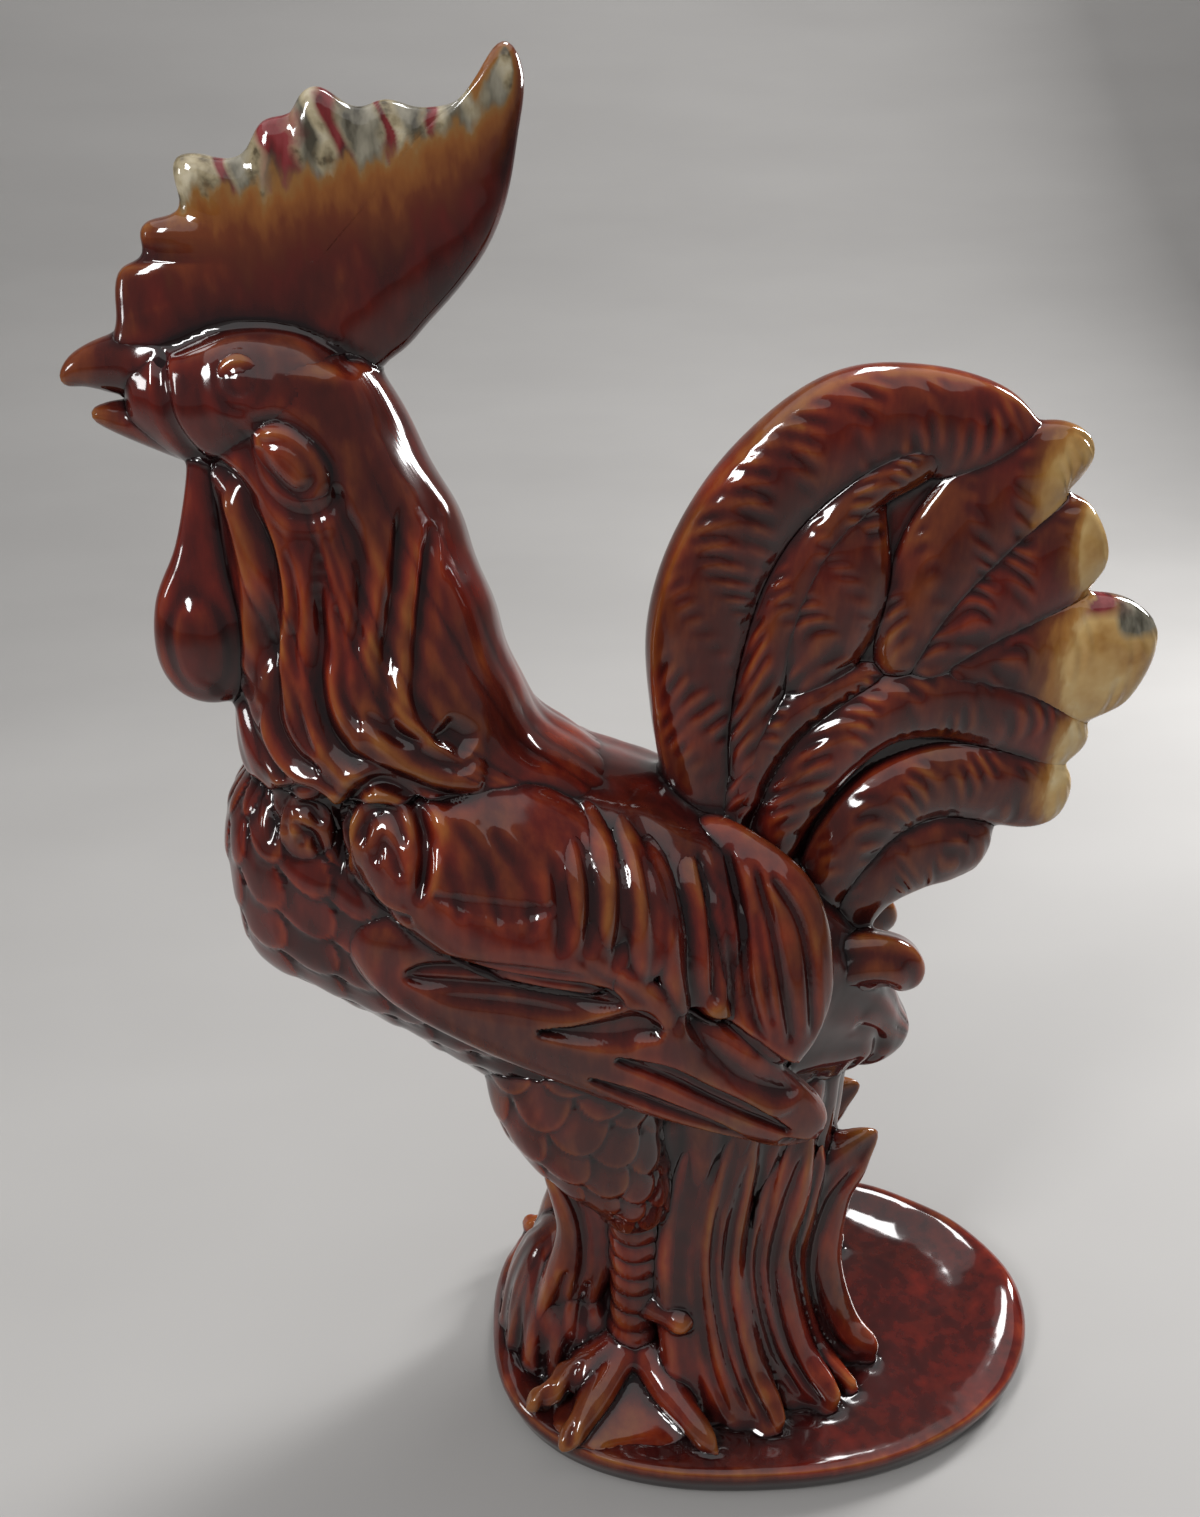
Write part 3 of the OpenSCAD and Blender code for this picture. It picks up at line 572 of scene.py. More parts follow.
# %% [markdown]
# ## Wings and hackles
# Each wing is a smooth shoulder over one long leaf; the slots between its flight feathers are cut
# in later. Saddle strands fall over its root with a broad fan behind them, and two round breast
# feathers lie in front of it. The shoulder leans with the flank of the body.

# %% Wings
FLANK = (0, 0.75, -0.66)
shoulder_rows = [
    [-88, -20, 176, 8, 8], [-76, -25, 168, 16, 9], [-60, -27, 158, 19, 9], [-44, -27, 147, 16, 8.5],
    [-32, -26, 138, 8, 6]]
blade_of_wing = [
    [-92, -25, 149, 5, 5], [-80, -30, 144, 11, 6], [-64, -32, 137, 14, 6], [-46, -32, 127, 14.5, 6],
    [-28, -31, 115, 13, 6], [-12, -29, 104, 10, 5.5], [-1, -27, 96, 7, 5], [4, -25, 93, 3, 3]]
strand_rows = [
    [[-53, -17, 170, 2.5, 3], [-50, -27, 162, 4, 4], [-49, -32, 154, 4.5, 4],
     [-50, -34.5, 148, 2.5, 3]],
    [[-47, -15, 168.5, 2.5, 3], [-44, -26, 160.5, 4, 4], [-43, -31.5, 152, 4.8, 4],
     [-44, -34, 145, 2.5, 3]],
    [[-41, -13, 166.5, 2.5, 3], [-38, -24.5, 158.5, 4, 4], [-36.5, -30.5, 150, 5, 4],
     [-36, -34, 139, 3.5, 3.2]],
    [[-36, -11, 164, 2, 3], [-33, -23.5, 156.5, 3, 4], [-31, -29.5, 147, 3.5, 4],
     [-30, -32, 138, 3, 3.5], [-28, -32.5, 129, 2, 3]],
    [[-46, -33, 147, 3, 3], [-40, -34, 139, 4, 3.5], [-34, -34, 132, 4, 3],
     [-29, -33.5, 125, 2, 3]],
    [[-30, -10, 162, 2.5, 3], [-28, -20.5, 154, 5, 4], [-26.5, -26, 145, 5.5, 4],
     [-25.5, -29, 136, 5.5, 4], [-22.5, -30, 124, 4, 3.5]]]
rump_rows = [
    [-24, -10, 160, 4, 3], [-18, -14.5, 153.5, 9, 4.5], [-12, -20.5, 144, 13.5, 5.5],
    [-9, -25.5, 131, 13, 5.5], [-8, -27, 121, 10, 5], [-7, -27, 113, 5, 4]]
curl_rows = [
    [[-102, -15, 178, 4, 4], [-99, -19.5, 173, 6.5, 5], [-98, -21, 165, 6, 5],
     [-100, -20, 157, 3, 3]],
    [[-88, -22, 180, 4, 4], [-85, -25.5, 174, 7, 5], [-84, -27, 165, 7.5, 5],
     [-86, -26.5, 155, 3.5, 3]]]
pair("wing_primaries", loft(blade_of_wing, 260, 320, (0.1, 0.12), full=2.6))
pair("wing_shoulder", loft(shoulder_rows, 160, 200, (0.2, 0.2), ref=FLANK, full=2.2))
saddle = [loft(rows, 80, 60, (0.12, 0.15)) for rows in strand_rows]
pair("saddle_hackle", luted(saddle + [loft(rump_rows, 120, 120, (0.12, 0.15), full=2.3)]))
pair("breast_curls", luted([loft(rows, 90, 60, (0.2, 0.2)) for rows in curl_rows]))
print("wing:", len(forms["left_saddle_hackle"][0]))

# %% [markdown]
# ## Tail
# The tail is a fan of feathers standing on edge, touching each other like fingers, with dark
# creases between them. Each is one bent band with a full section and a thin raised border; the
# barbs are fine slanting lines, patchy as a worn mould gives them. Both are kept for the pressing
# step.

# %% Tail
BARB_PITCH, BARB_SLANT, BARB_HEIGHT, BORDER_HEIGHT = 4.4, 6.0, 0.17, 0.18
COVERT_FLUTES, COVERT_DEPTH = 5, 0.5
WEB_MIDDLE, WEB_HALF = np.array([14, 184]), 3.0
feathers = {
    "outer_sickle": [[-19, 0, 150, 6, 9], [-22, 0, 166, 7, 9], [-24, 0, 182, 8, 8],
        [-24, 0, 198, 9, 7.5], [-20, 0, 213, 9, 7], [-11, 0, 227, 9, 7], [3, 0, 237, 10, 6.5],
        [17, 0, 239, 9, 6], [31, 0, 236, 8, 5.5], [43, 0, 231, 4, 3]],
    "inner_sickle": [[-13, 0, 158, 4, 9], [-13, 0, 176, 5, 9], [-9, 0, 197, 5, 8],
        [-3, 0, 213, 5, 7.5], [6, 0, 225, 4, 7], [16, 0, 231, 4, 6], [25, 0, 233, 2, 3]],
    "tail_leaf": [[0, 0, 182, 5, 7], [-1, 0, 194, 9, 8], [2, 0, 207, 10, 8], [5, 0, 218, 7, 7],
        [9, 0, 228, 2, 4]],
    "upper_tail_feather": [[16, 0, 188, 4, 7], [19, 0, 202, 7, 7.5], [25, 0, 215, 10, 7],
        [34, 0, 225, 10, 6], [44, 0, 231, 7, 5], [52, 0, 231, 3, 3]],
    "rear_tail_feather": [[20, 0, 188, 4, 7], [28, 0, 198, 8, 7], [37, 0, 206, 10, 6.5],
        [46, 0, 213, 10, 5.5], [55, 0, 219, 7, 4]],
    "broad_tail_feather": [[26, 0, 188, 4, 7], [37, 0, 191, 8, 7], [49, 0, 192, 11, 6.5],
        [61, 0, 191, 12, 6], [71, 0, 189, 7, 4]],
    "short_sickle": [[-17, 0, 150, 4, 9], [-14, 0, 166, 5, 9], [-7, 0, 179, 5, 9],
        [4, 0, 187, 4, 8], [16, 0, 189, 2, 4]],
    "long_sickle": [[-8, 0, 144, 5, 10], [-5, 0, 158, 6, 10], [3, 0, 172, 7, 9.5],
        [14, 0, 181, 7, 9], [27, 0, 184, 8, 8], [40, 0, 181, 8, 7], [52, 0, 174, 7, 5],
        [61, 0, 171, 4, 3]],
    "lower_sickle": [[2, 0, 132, 5, 10], [7, 0, 147, 7, 10], [15, 0, 159, 8, 9], [27, 0, 165, 8, 8],
        [40, 0, 164, 8, 7], [51, 0, 161, 8, 5], [59, 0, 161, 5, 4]],
    "low_tail_feather": [[8, 0, 128, 6, 9], [14, 0, 141, 8, 9], [24, 0, 148, 9, 8],
        [34, 0, 149, 8, 7], [43, 0, 148, 5, 4]]}
covert_rows = [
    [-8, -10, 118, 6, 6], [3, -12, 123, 6.5, 6], [14, -12, 126, 6.5, 6], [22, -11, 123.5, 6, 5.5],
    [24, -11, 117, 4, 4]]
web_edge = [
    [-18, 158], [-18, 186], [-10, 212], [6, 230], [26, 232], [42, 226], [48, 212], [52, 202],
    [58, 184], [52, 166], [36, 148], [16, 134], [-6, 138]]


def barbs(u, a, length, points):
    across = np.cos(a)
    along = u * length - BARB_SLANT * across + 3 * across**2
    wander = 2 * np.pi * along / BARB_PITCH + 2.4 * np.sin(u * 13 + across)
    line = np.cos(wander + np.sin(u * 31))
    worn = np.sin(points[..., 0] / 5 + 1 + points[..., 2] / 9)
    patchy = smooth(-0.5, 0.7, np.sin(along / 3.1 + 5 * across) * worn)
    border = BORDER_HEIGHT * bump(np.abs(across) - 0.84, 0.08)
    inside = smooth(0.1, 0.35, 1 - np.abs(across))
    lines = BARB_HEIGHT * line * patchy * inside + border
    return lines * smooth(0.02, 0.2, u) * smooth(0, 0.1, 1 - u)


def fluted(u, a, length, points):
    flutes = COVERT_DEPTH * np.cos(COVERT_FLUTES * a + 2 * np.sin(4 * u))
    return flutes * smooth(0, 0.12, u) * smooth(0, 0.1, 1 - u)


def web_half(z):
    return WEB_HALF + 0 * z


for name, rows in feathers.items():
    forms[name] = loft(rows, 180, 90, (0.08, 0.12), full=2.25, wider=(1.0, 1.3), fine=barbs)
pair("tail_covert", loft(covert_rows, 90, 70, (0.1, 0.2), relief=fluted))
forms["tail_web"] = closed(plate(web_edge, WEB_MIDDLE, web_half, 4.0))
print("forms:", len(forms), "points:", sum(len(form[0]) for form in forms.values()))

# %% [markdown]
# ## Lines drawn with a modelling tool
# On the master the feathers were drawn into the clay with a wooden tool: deep creases between
# locks, pockets between the flight feathers, lips where one layer lies over the next. Both sides of
# the mould carry the same drawing, so one map of heights over the bird's side view holds it. A
# stroke is a path of [x, z, half width] rows and a height; negative heights cut in, and push up a
# little clay beside the cut.

# %% Strokes
STEP = 0.5
SAMPLES, LEAST_HALF = 160, 0.3
BURR_HEIGHT, BURR_AWAY = 0.3, 2.2
POCKET_WALL, RIB_SHARE, LIP_WALL = 0.75, 0.22, 0.7
map_x, map_z = np.arange(-142, 78, STEP), np.arange(0, 304, STEP)
drawn = np.zeros((len(map_x), len(map_z)))


def draw(rows, height, kind="crease", ribs=0.0, fade=0.12):
    """Adds one stroke to the map: a crease, a pocket with a flat floor, or a lip raised on the left
    of its path. ribs is their distance; fade is the share of the path that eases in and out."""
    r = path(rows, np.linspace(0, 1, SAMPLES))
    reach = 4 * r[:, 2].max()
    i = slice(*np.searchsorted(map_x, (r[:, 0].min() - reach, r[:, 0].max() + reach)))
    j = slice(*np.searchsorted(map_z, (r[:, 1].min() - reach, r[:, 1].max() + reach)))
    dx, dz = map_x[i][:, None, None] - r[:, 0], map_z[j][None, :, None] - r[:, 1]
    away = np.hypot(dx, dz)
    near = away.argmin(-1)
    away, dx, dz = (np.take_along_axis(v, near[..., None], -1)[..., 0]
                    for v in (away, dx, dz + 0 * dx))
    t = unit(np.gradient(r[:, :2], axis=0))[near]
    side = away * np.sign(t[..., 0] * dz - t[..., 1] * dx)
    u, w = near / (SAMPLES - 1), np.maximum(r[near, 2], LEAST_HALF)
    if kind == "crease":
        shape = bump(away, w) - BURR_HEIGHT * bump(away - BURR_AWAY * w, w)
    elif kind == "pocket":
        ribbing = RIB_SHARE * np.cos(2 * np.pi * side / ribs) if ribs else 0
        shape = smooth(0, POCKET_WALL, 1 - away / w) * (1 - ribbing)
    else:
        shape = smooth(-LIP_WALL, LIP_WALL, side) * np.exp(-np.maximum(side, 0) / w)
    drawn[i, j] += height * shape * smooth(0, fade, u) * smooth(0, fade, 1 - u)


def between(cells, p):
    """Value of a map or block at places counted in cells, between the cells."""
    i = np.clip(np.floor(p).astype(int), 0, np.array(cells.shape) - 2)
    f = np.clip(p - i, 0, 1)
    value = 0
    for corner in np.ndindex(*[2] * cells.ndim):
        c = np.array(corner)
        value = value + np.abs(1 - c - f).prod(1) * cells[tuple((i + c).T)]
    return value


def at_side(chart, points):
    """Value of a side-view map at each point of the bird."""
    return between(chart, (points[:, ::2] - (map_x[0], map_z[0])) / STEP)


print("stroke map:", drawn.shape)

# %% [markdown]
# ## Drawing the neck and face
# The long strokes part the locks of the hackle and turn back with them over the shoulder. On the
# face the tool marked the brow, the root of the beak, two rings round the eye and two round the ear
# lobe.

# %% Neck and face strokes
NECK_DEPTH = 0.68
EYE_RINGS, EYE_LINE = (2.2, 4.6), 0.8
neck_creases = [
    ([[-111, 235, 1], [-105, 231, 1.6], [-102, 224, 1.8], [-101, 216, 1.8], [-102, 208, 1.8],
      [-105, 197, 1]], -2.2),
    ([[-101, 208, 0.8], [-102, 197, 1.2], [-102, 190, 1.4], [-99, 185, 1.4], [-94, 182, 1]], -1.8),
    ([[-92, 224, 0.8], [-93, 206, 1.5], [-94, 199, 1.6], [-93, 192, 1.7], [-90, 187, 1.8],
      [-85, 185, 1.8], [-80, 182, 1.9], [-73, 178, 2.2], [-65, 176, 1.6]], -2.6),
    ([[-86, 194, 0.8], [-80, 188, 1.3], [-74, 184, 1.4], [-67, 181, 1]], -1.6),
    ([[-78, 228, 0.7], [-79, 216, 1.2], [-81, 205, 1.3], [-82, 195, 1.3], [-80, 190, 1.2],
      [-75, 187, 0.8]], -1.6),
    ([[-73, 224, 0.7], [-75, 211, 1.1], [-76, 202, 1.2], [-76, 193, 1.2], [-72, 186, 0.8]], -1.4),
    ([[-112, 195, 0.8], [-108, 187, 1.3], [-105, 182, 1.3], [-101, 180, 0.8]], -1.4),
    ([[-88, 232, 0.8], [-87, 227, 1.2], [-85, 222, 1.2], [-85, 214, 1.2], [-87, 202, 0.8]], -1.4),
    ([[-98, 222, 0.7], [-97, 212, 1], [-98, 202, 1.1], [-97, 191, 1.1], [-95, 185, 0.8]], -1.2),
    ([[-90, 212, 0.6], [-89, 203, 0.8], [-89, 196, 0.8], [-86, 191, 0.6]], -0.8),
    ([[-105, 193, 0.6], [-106, 186, 0.8], [-103, 181, 0.8], [-99, 180, 0.6]], -0.7)]
neck_ridges = [
    ([[-108, 230, 1.2], [-106, 222, 1.8], [-105.5, 214, 2], [-106, 204, 1.8], [-108, 196, 1.2]], 1),
    ([[-104, 230, 0.8], [-99.5, 222, 1], [-98, 215, 1], [-98.5, 206, 0.8]], 0.7)]
face_creases = [
    ([[-118, 252, 1], [-112, 254.5, 1.8], [-105, 257, 2], [-98, 257.5, 2], [-92, 256, 2],
      [-87, 252, 1.8], [-84, 248, 1]], -1),
    ([[-86, 253, 1.4], [-82, 247, 2], [-79, 239, 2.2], [-74, 230, 2], [-70, 220, 1.2]], -0.3)]
lobe_rings = [
    ([[-102, 242, 1.1], [-97, 242.5, 1.1], [-92, 239.5, 1.1], [-88.5, 234, 1.1], [-89, 229, 1.1],
      [-93, 227, 1.1], [-98, 228.5, 1.1], [-102, 234, 1.1], [-103, 241, 1.1]], -0.6),
    ([[-100.5, 239, 0.8], [-96, 239, 0.8], [-92.5, 236, 0.8], [-92, 232.5, 0.8], [-95, 231, 0.8],
      [-98.5, 234, 0.8], [-100.5, 238.5, 0.8]], -0.45)]
beak_root = [[-117, 253, 1.4], [-117, 248, 2.2], [-116.5, 242, 2.4], [-114, 237, 2.2],
             [-110, 233, 1.4]]
ring = np.linspace(0, 2 * np.pi, 13)
for rows, height in neck_creases:
    draw(rows, NECK_DEPTH * height)
for rows, height in neck_ridges + face_creases:
    draw(rows, height)
draw(beak_root, -1.1, "pocket")
for rows, height in lobe_rings:
    draw(rows, height, fade=0.02)
for r in EYE_RINGS:
    rows = [EYE_X + r * np.cos(ring), EYE_Z + r * np.sin(ring), EYE_LINE + 0 * ring]
    draw(np.stack(rows, 1), -0.25, fade=0.02)
draw([[-73, 190, 3], [-70, 187, 3.6], [-67, 184, 3]], -1.8, "pocket", fade=0.3)
draw([[-90, 187, 4], [-80, 183, 5], [-73, 179, 5], [-65, 177, 4]], 1.6, "lip")
print("neck and face strokes:", len(neck_creases + neck_ridges + face_creases + lobe_rings))

# %% [markdown]
# ## Drawing the wing and saddle
# Broad, shallow pockets part the flight feathers, with fine ribs on the floor of some; the last
# number of a pocket is the distance between its ribs. Creases part the saddle strands, curl round
# the breast feathers and cross the shoulder lightly.

# %% Wing and saddle strokes
STRAND_DEPTH = 0.6
wing_pockets = [
    ([[-75, 162, 0.8], [-67, 159.5, 2.2], [-60, 157.5, 2.6], [-53, 157, 0.8]], -0.6, 0),
    ([[-82, 143, 1], [-73, 143, 7], [-61, 141.5, 9.5], [-51, 139, 8], [-45, 137, 4.5],
      [-40, 135, 0.8]], -1.9, 3.4),
    ([[-57, 130, 0.8], [-49, 129, 3], [-42, 129, 5], [-37, 129.5, 5],
      [-32.5, 127.5, 1.4]], -2.4, 0),
    ([[-42, 122.5, 0.8], [-32, 118, 2.6], [-24, 112.5, 3], [-14, 105, 2.8],
      [-4, 97, 0.8]], -2, 2.2),
    ([[-47, 117.5, 0.8], [-38, 112.5, 2.2], [-31, 108, 2.6], [-22, 102, 2.2],
      [-14, 96, 0.8]], -1.9, 2.2)]
saddle_creases = [
    ([[-37, 168, 1.2], [-33, 161, 1.8], [-31, 157, 2], [-29, 150, 2.1], [-27, 141, 2.1],
      [-25, 133, 2], [-23, 126, 1.4]], -0.6),
    ([[-27, 131, 1.4], [-24, 126, 2.2], [-21, 121, 2.3], [-15, 114, 2.5], [-9, 110, 2.5],
      [-2, 107, 1.2]], -2),
    ([[-24, 159, 0.7], [-22, 148, 1], [-21.5, 131, 0.8]], -1),
    ([[-18, 158, 0.7], [-16, 148, 1], [-14.5, 132, 1], [-11, 121, 0.8]], -1),
    ([[-13, 156, 0.7], [-10, 145, 1], [-7.5, 132, 1], [-5.5, 120, 0.8]], -1),
    ([[-10, 154, 0.7], [-5, 147, 1], [-2.5, 138, 1], [-1, 120, 0.8]], -1),
    ([[-20, 152, 0.6], [-18.5, 142, 0.7], [-17.5, 131, 0.6]], -0.5),
    ([[-13, 148, 0.6], [-11.5, 138, 0.7], [-9.5, 125, 0.6]], -0.5)]
strand_creases = [
    ([[-54, 167, 0.5], [-52, 160, 1.2], [-51.5, 153, 1.6], [-53, 147, 0.6]], -1.8),
    ([[-49, 169, 0.5], [-46, 160, 1], [-46.5, 152, 1.5], [-48, 145, 0.6]], -1.6),
    ([[-42, 168, 0.5], [-40, 159, 1], [-40.5, 150, 1.5], [-43, 141, 0.6]], -1.6),
    ([[-37, 166, 0.5], [-34.5, 156, 0.9], [-34, 146, 1.3], [-35.5, 137, 0.6]], -1.4),
    ([[-50, 149, 0.5], [-44, 142, 1], [-37, 136, 1.2], [-31, 128, 0.6]], -1.2)]
curl_creases = [
    ([[-106, 164, 0.8], [-104, 173, 1.1], [-99, 178, 1.2], [-93.5, 175, 1.3], [-92, 168, 1.2],
      [-93, 160, 0.8]], -1.5),
    ([[-101, 171, 0.7], [-97, 168, 0.9], [-96, 163, 0.7]], -0.7),
    ([[-91, 166, 0.8], [-90.5, 174, 1.2], [-85, 181, 1.4], [-78, 177, 1.5], [-76, 169, 1.3],
      [-78, 160, 0.8]], -1.8),
    ([[-87, 160, 0.7], [-84, 157, 1], [-79, 157, 0.8]], -1.2),
    ([[-103, 168, 0.8], [-101.5, 173, 1.1], [-97.5, 174, 1.1], [-95.5, 170, 0.8]], -0.9),
    ([[-100, 166, 0.7], [-98, 169, 0.9], [-96.5, 165, 0.7]], -0.6),
    ([[-88, 169, 0.8], [-86, 175.5, 1.2], [-81.5, 175.5, 1.2], [-79.5, 170, 0.8]], -0.9),
    ([[-85.5, 167, 0.7], [-83, 170.5, 1], [-80.5, 165, 0.7]], -0.6)]
shoulder_creases = [
    ([[-78, 176, 0.8], [-72, 167, 1.2], [-70, 157, 0.8]], -0.5),
    ([[-71, 174, 0.8], [-65, 165, 1.2], [-63, 155, 0.8]], -0.5),
    ([[-64, 171, 0.8], [-58, 162, 1.2], [-57, 153, 0.8]], -0.5)]
for rows, height, ribs in wing_pockets:
    draw(rows, height, "pocket", ribs, fade=0.04)
for rows, height in saddle_creases + curl_creases + shoulder_creases:
    draw(rows, height)
for rows, height in strand_creases:
    draw(rows, STRAND_DEPTH * height, fade=0.35)
draw([[-25, 130, 5], [-16, 125, 6], [-9, 119, 6], [-1, 112, 5]], 1.8, "lip")
draw([[-7, 94.5, 2.6], [-2, 92, 2.8], [3, 89.5, 2.6]], -2.4, "pocket", fade=0.3)
print("wing and saddle strokes:", len(wing_pockets + saddle_creases + strand_creases))

# %% [markdown]
# ## Drawing the tuft and grass
# Under the tail one stroke rounds the end of the trunk. The tuft and the blades get light lines
# that follow their length.

# %% Grass strokes
GRASS_DEPTH = 0.8
trunk_end = [[12, 112, 1.2], [19, 106, 1.6], [20, 98, 1.6], [14, 91, 1.2]]
mound_creases = [
    [[-57, 40, 0.8], [-60, 29, 1.4], [-63, 18, 1.4], [-65, 9, 0.8]],
    [[-51, 42, 0.8], [-54, 30, 1.4], [-57, 18, 1.4], [-58, 9, 0.8]],
    [[-46, 38, 0.8], [-48, 27, 1.4], [-51, 17, 1.2], [-52, 11, 0.8]],
    [[-61, 35, 0.6], [-65, 24, 1.2], [-68, 12, 0.8]]]
grass_creases = [
    [[-13, 10, 0.8], [-18, 24, 1.1], [-20.5, 46, 1.1], [-20, 66, 1], [-17, 86, 0.7]],
    [[-3, 9, 0.8], [-10, 22, 1], [-14, 44, 1], [-13.5, 64, 1], [-10, 84, 0.7]],
    [[-9, 12, 0.6], [-14, 26, 0.8], [-17.5, 48, 0.8], [-17, 70, 0.6]],
    [[10, 10, 0.7], [2, 22, 1], [-3, 44, 1], [-1, 66, 1], [3, 82, 0.7]],
    [[5, 11, 0.6], [-2, 24, 0.8], [-6.5, 46, 0.8], [-5, 68, 0.8], [-2, 86, 0.6]],
    [[21, 10, 0.7], [14, 19, 1], [8.5, 38, 1], [11, 57, 1], [18, 69, 0.7]],
    [[-50, 30, 0.7], [-47, 44, 1], [-48, 58, 1], [-53, 70, 0.7]]]
for rows in [trunk_end] + mound_creases + grass_creases:
    draw(rows, -GRASS_DEPTH)
print("grass strokes:", len(mound_creases + grass_creases))

# %% [markdown]
# ## Joining with slip
# Slip and glaze round every join: they fill the creases and soften the ridges. All forms are
# counted into one block of distances, blurred by about a millimetre. A wider blur tells where glaze
# will lie thick, in hollows, and where a ridge will shed it.

# %% Joining block
CELL, ROOM = 0.8, 6
SLIP_BLUR, HOLLOW_BLUR, STROKE_BLUR = 1.0, 3.0, 1.5
every = np.vstack([form[0] for form in forms.values()])
low = every.min(0) - ROOM
block_size = tuple(int(c) for c in np.ceil((every.max(0) - low + ROOM) / CELL))
union = np.full(block_size, BAND * CELL, np.float32)
for form in forms.values():
    first = np.maximum(np.floor((form[0].min(0) - low) / CELL).astype(int) - BAND, 0)
    last = np.minimum(np.ceil((form[0].max(0) - low) / CELL).astype(int) + BAND + 1, block_size)
    part = union[tuple(slice(f, l) for f, l in zip(first, last))]
    np.minimum(part, distance(form, CELL, low + first * CELL, part.shape), out=part)
skin, hollow = blurred(union, SLIP_BLUR / CELL), blurred(union, HOLLOW_BLUR / CELL)
slope = [np.gradient(skin, CELL, axis=axis) for axis in range(3)]
sunk = blurred(drawn, STROKE_BLUR / STEP) - drawn
print("joining block:", block_size)

# %% [markdown]
# ## Onto the skin
# Each point that can be seen moves onto the blurred skin in two short steps. A point well inside
# another form stays, and one just under the skin keeps its depth, so the pieces still lap.

# %% Points on the skin
HIDDEN = (1.2, 3.0)
LAP, LAP_RATE = 0.08, 1.2
STEP_IN, STEP_OUT, LEAST_SLOPE = -0.8, 0.6, 0.2
SKIN_SHARE, HOLLOW_SHARE, RIDGE_SHARE = 1.5, 0.5, 0.12


def at(block, points):
    """Value of a joining block at each point of the bird."""
    return between(block, (points - low) / CELL)


def hollowness(verts):
    """How deep a point lies in a hollow; below 0 on a ridge."""
    wide = at(hollow, verts)
    narrow = SKIN_SHARE * at(skin, verts)
    return -(narrow + HOLLOW_SHARE * np.minimum(wide, 0) + RIDGE_SHARE * np.maximum(wide, 0))


def slipped(verts, depth):
    """Points moved onto the blurred skin."""
    seen = 1 - smooth(*HIDDEN, -depth)
    under = LAP_RATE * np.minimum(depth + LAP, 0)
    for _ in range(2):
        step = np.clip(at(skin, verts) - under, STEP_IN, STEP_OUT) * seen
        g = np.stack([at(s, verts) for s in slope], 1)
        verts = verts - g * (step / np.maximum((g**2).sum(1), LEAST_SLOPE))[:, None]
    return verts


print("lap of the pieces in mm:", LAP)

# %% [markdown]
# ## Where the glaze gathers
# Glaze runs while it melts. It gathers in creases, at the foot of the base and on the smooth face
# and trunk, and drains from fine ridges. High tops that face up are made lighter too: partly
# thinner glaze, partly painted light where the skylight falls on them. One attribute says how thick
# it lies.

# %% Glaze depth
SUNK_SHARE = 0.8
FOOT_GATHER, FOOT_RISE = 1.2, (2, 7)
HEAP_DRAIN, HEAP_FOOT = 0.4, (24, 32)
CALM_GATHER = 0.2
# The last number here lightens high tops that face up: painted light, and thinner glaze.
POOL_MEAN, POOL_RATE, FINE_DRAIN, TOP_THINNING_AND_PAINTED_LIGHT = 0.49, 0.52, 1.3, 0.08
calm_pieces = {"left_wattle", "right_wattle", "head", "upper_beak", "lower_beak", "body"}


def gathered(name, verts, crease):
    """Crease, changed where the glaze of a piece ran together or off."""
    if name == "base_plinth":
        crease = crease + FOOT_GATHER - smooth(*FOOT_RISE, verts[:, 2])
    if name == "ground_mound":
        crease = crease - HEAP_DRAIN * smooth(*HEAP_FOOT, np.abs(verts[:, 1]))
    if name in calm_pieces:
        crease = crease + CALM_GATHER
    return crease


def pooled_with_painted_light(crease, heights, normals, verts):
    """Thickness of the glaze from 0 to 1; high tops that face up get less, partly as painted light.
    """
    # Up-facing surfaces high on the bird are painted lighter, as where the skylight falls; the
    # glaze is thinner there too.
    top = smooth(0.2, 0.9, normals[:, 2]) * smooth(60, 120, verts[:, 2])
    return np.clip(POOL_MEAN + POOL_RATE * crease - FINE_DRAIN * heights - TOP_THINNING_AND_PAINTED_LIGHT * top, 0, 1)


print("pool on plain clay:", POOL_MEAN)

# %% [markdown]
# ## Finished pieces
# Every form becomes a mesh in metres, and its fine relief and the drawing are pressed in along the
# normals. The drawing fades where the surface turns away from the side, and the comb, the beak, the
# wattles and the tail feathers stay free of it.

# %% Pieces
SIDEWAYS = (0.15, 0.55)
FILLED = (0.2, 0.8)
undrawn = {"comb", "upper_beak", "lower_beak", "left_wattle", "right_wattle", *feathers}
pieces, spread = {}, []


def put(mesh, key, values):
    """A new attribute from 0 to 1 on the points of a mesh."""
    values = np.clip(values, 0, 1).astype(np.float32)
    mesh.attributes.new(key, "FLOAT", "POINT").data.foreach_set("value", values)


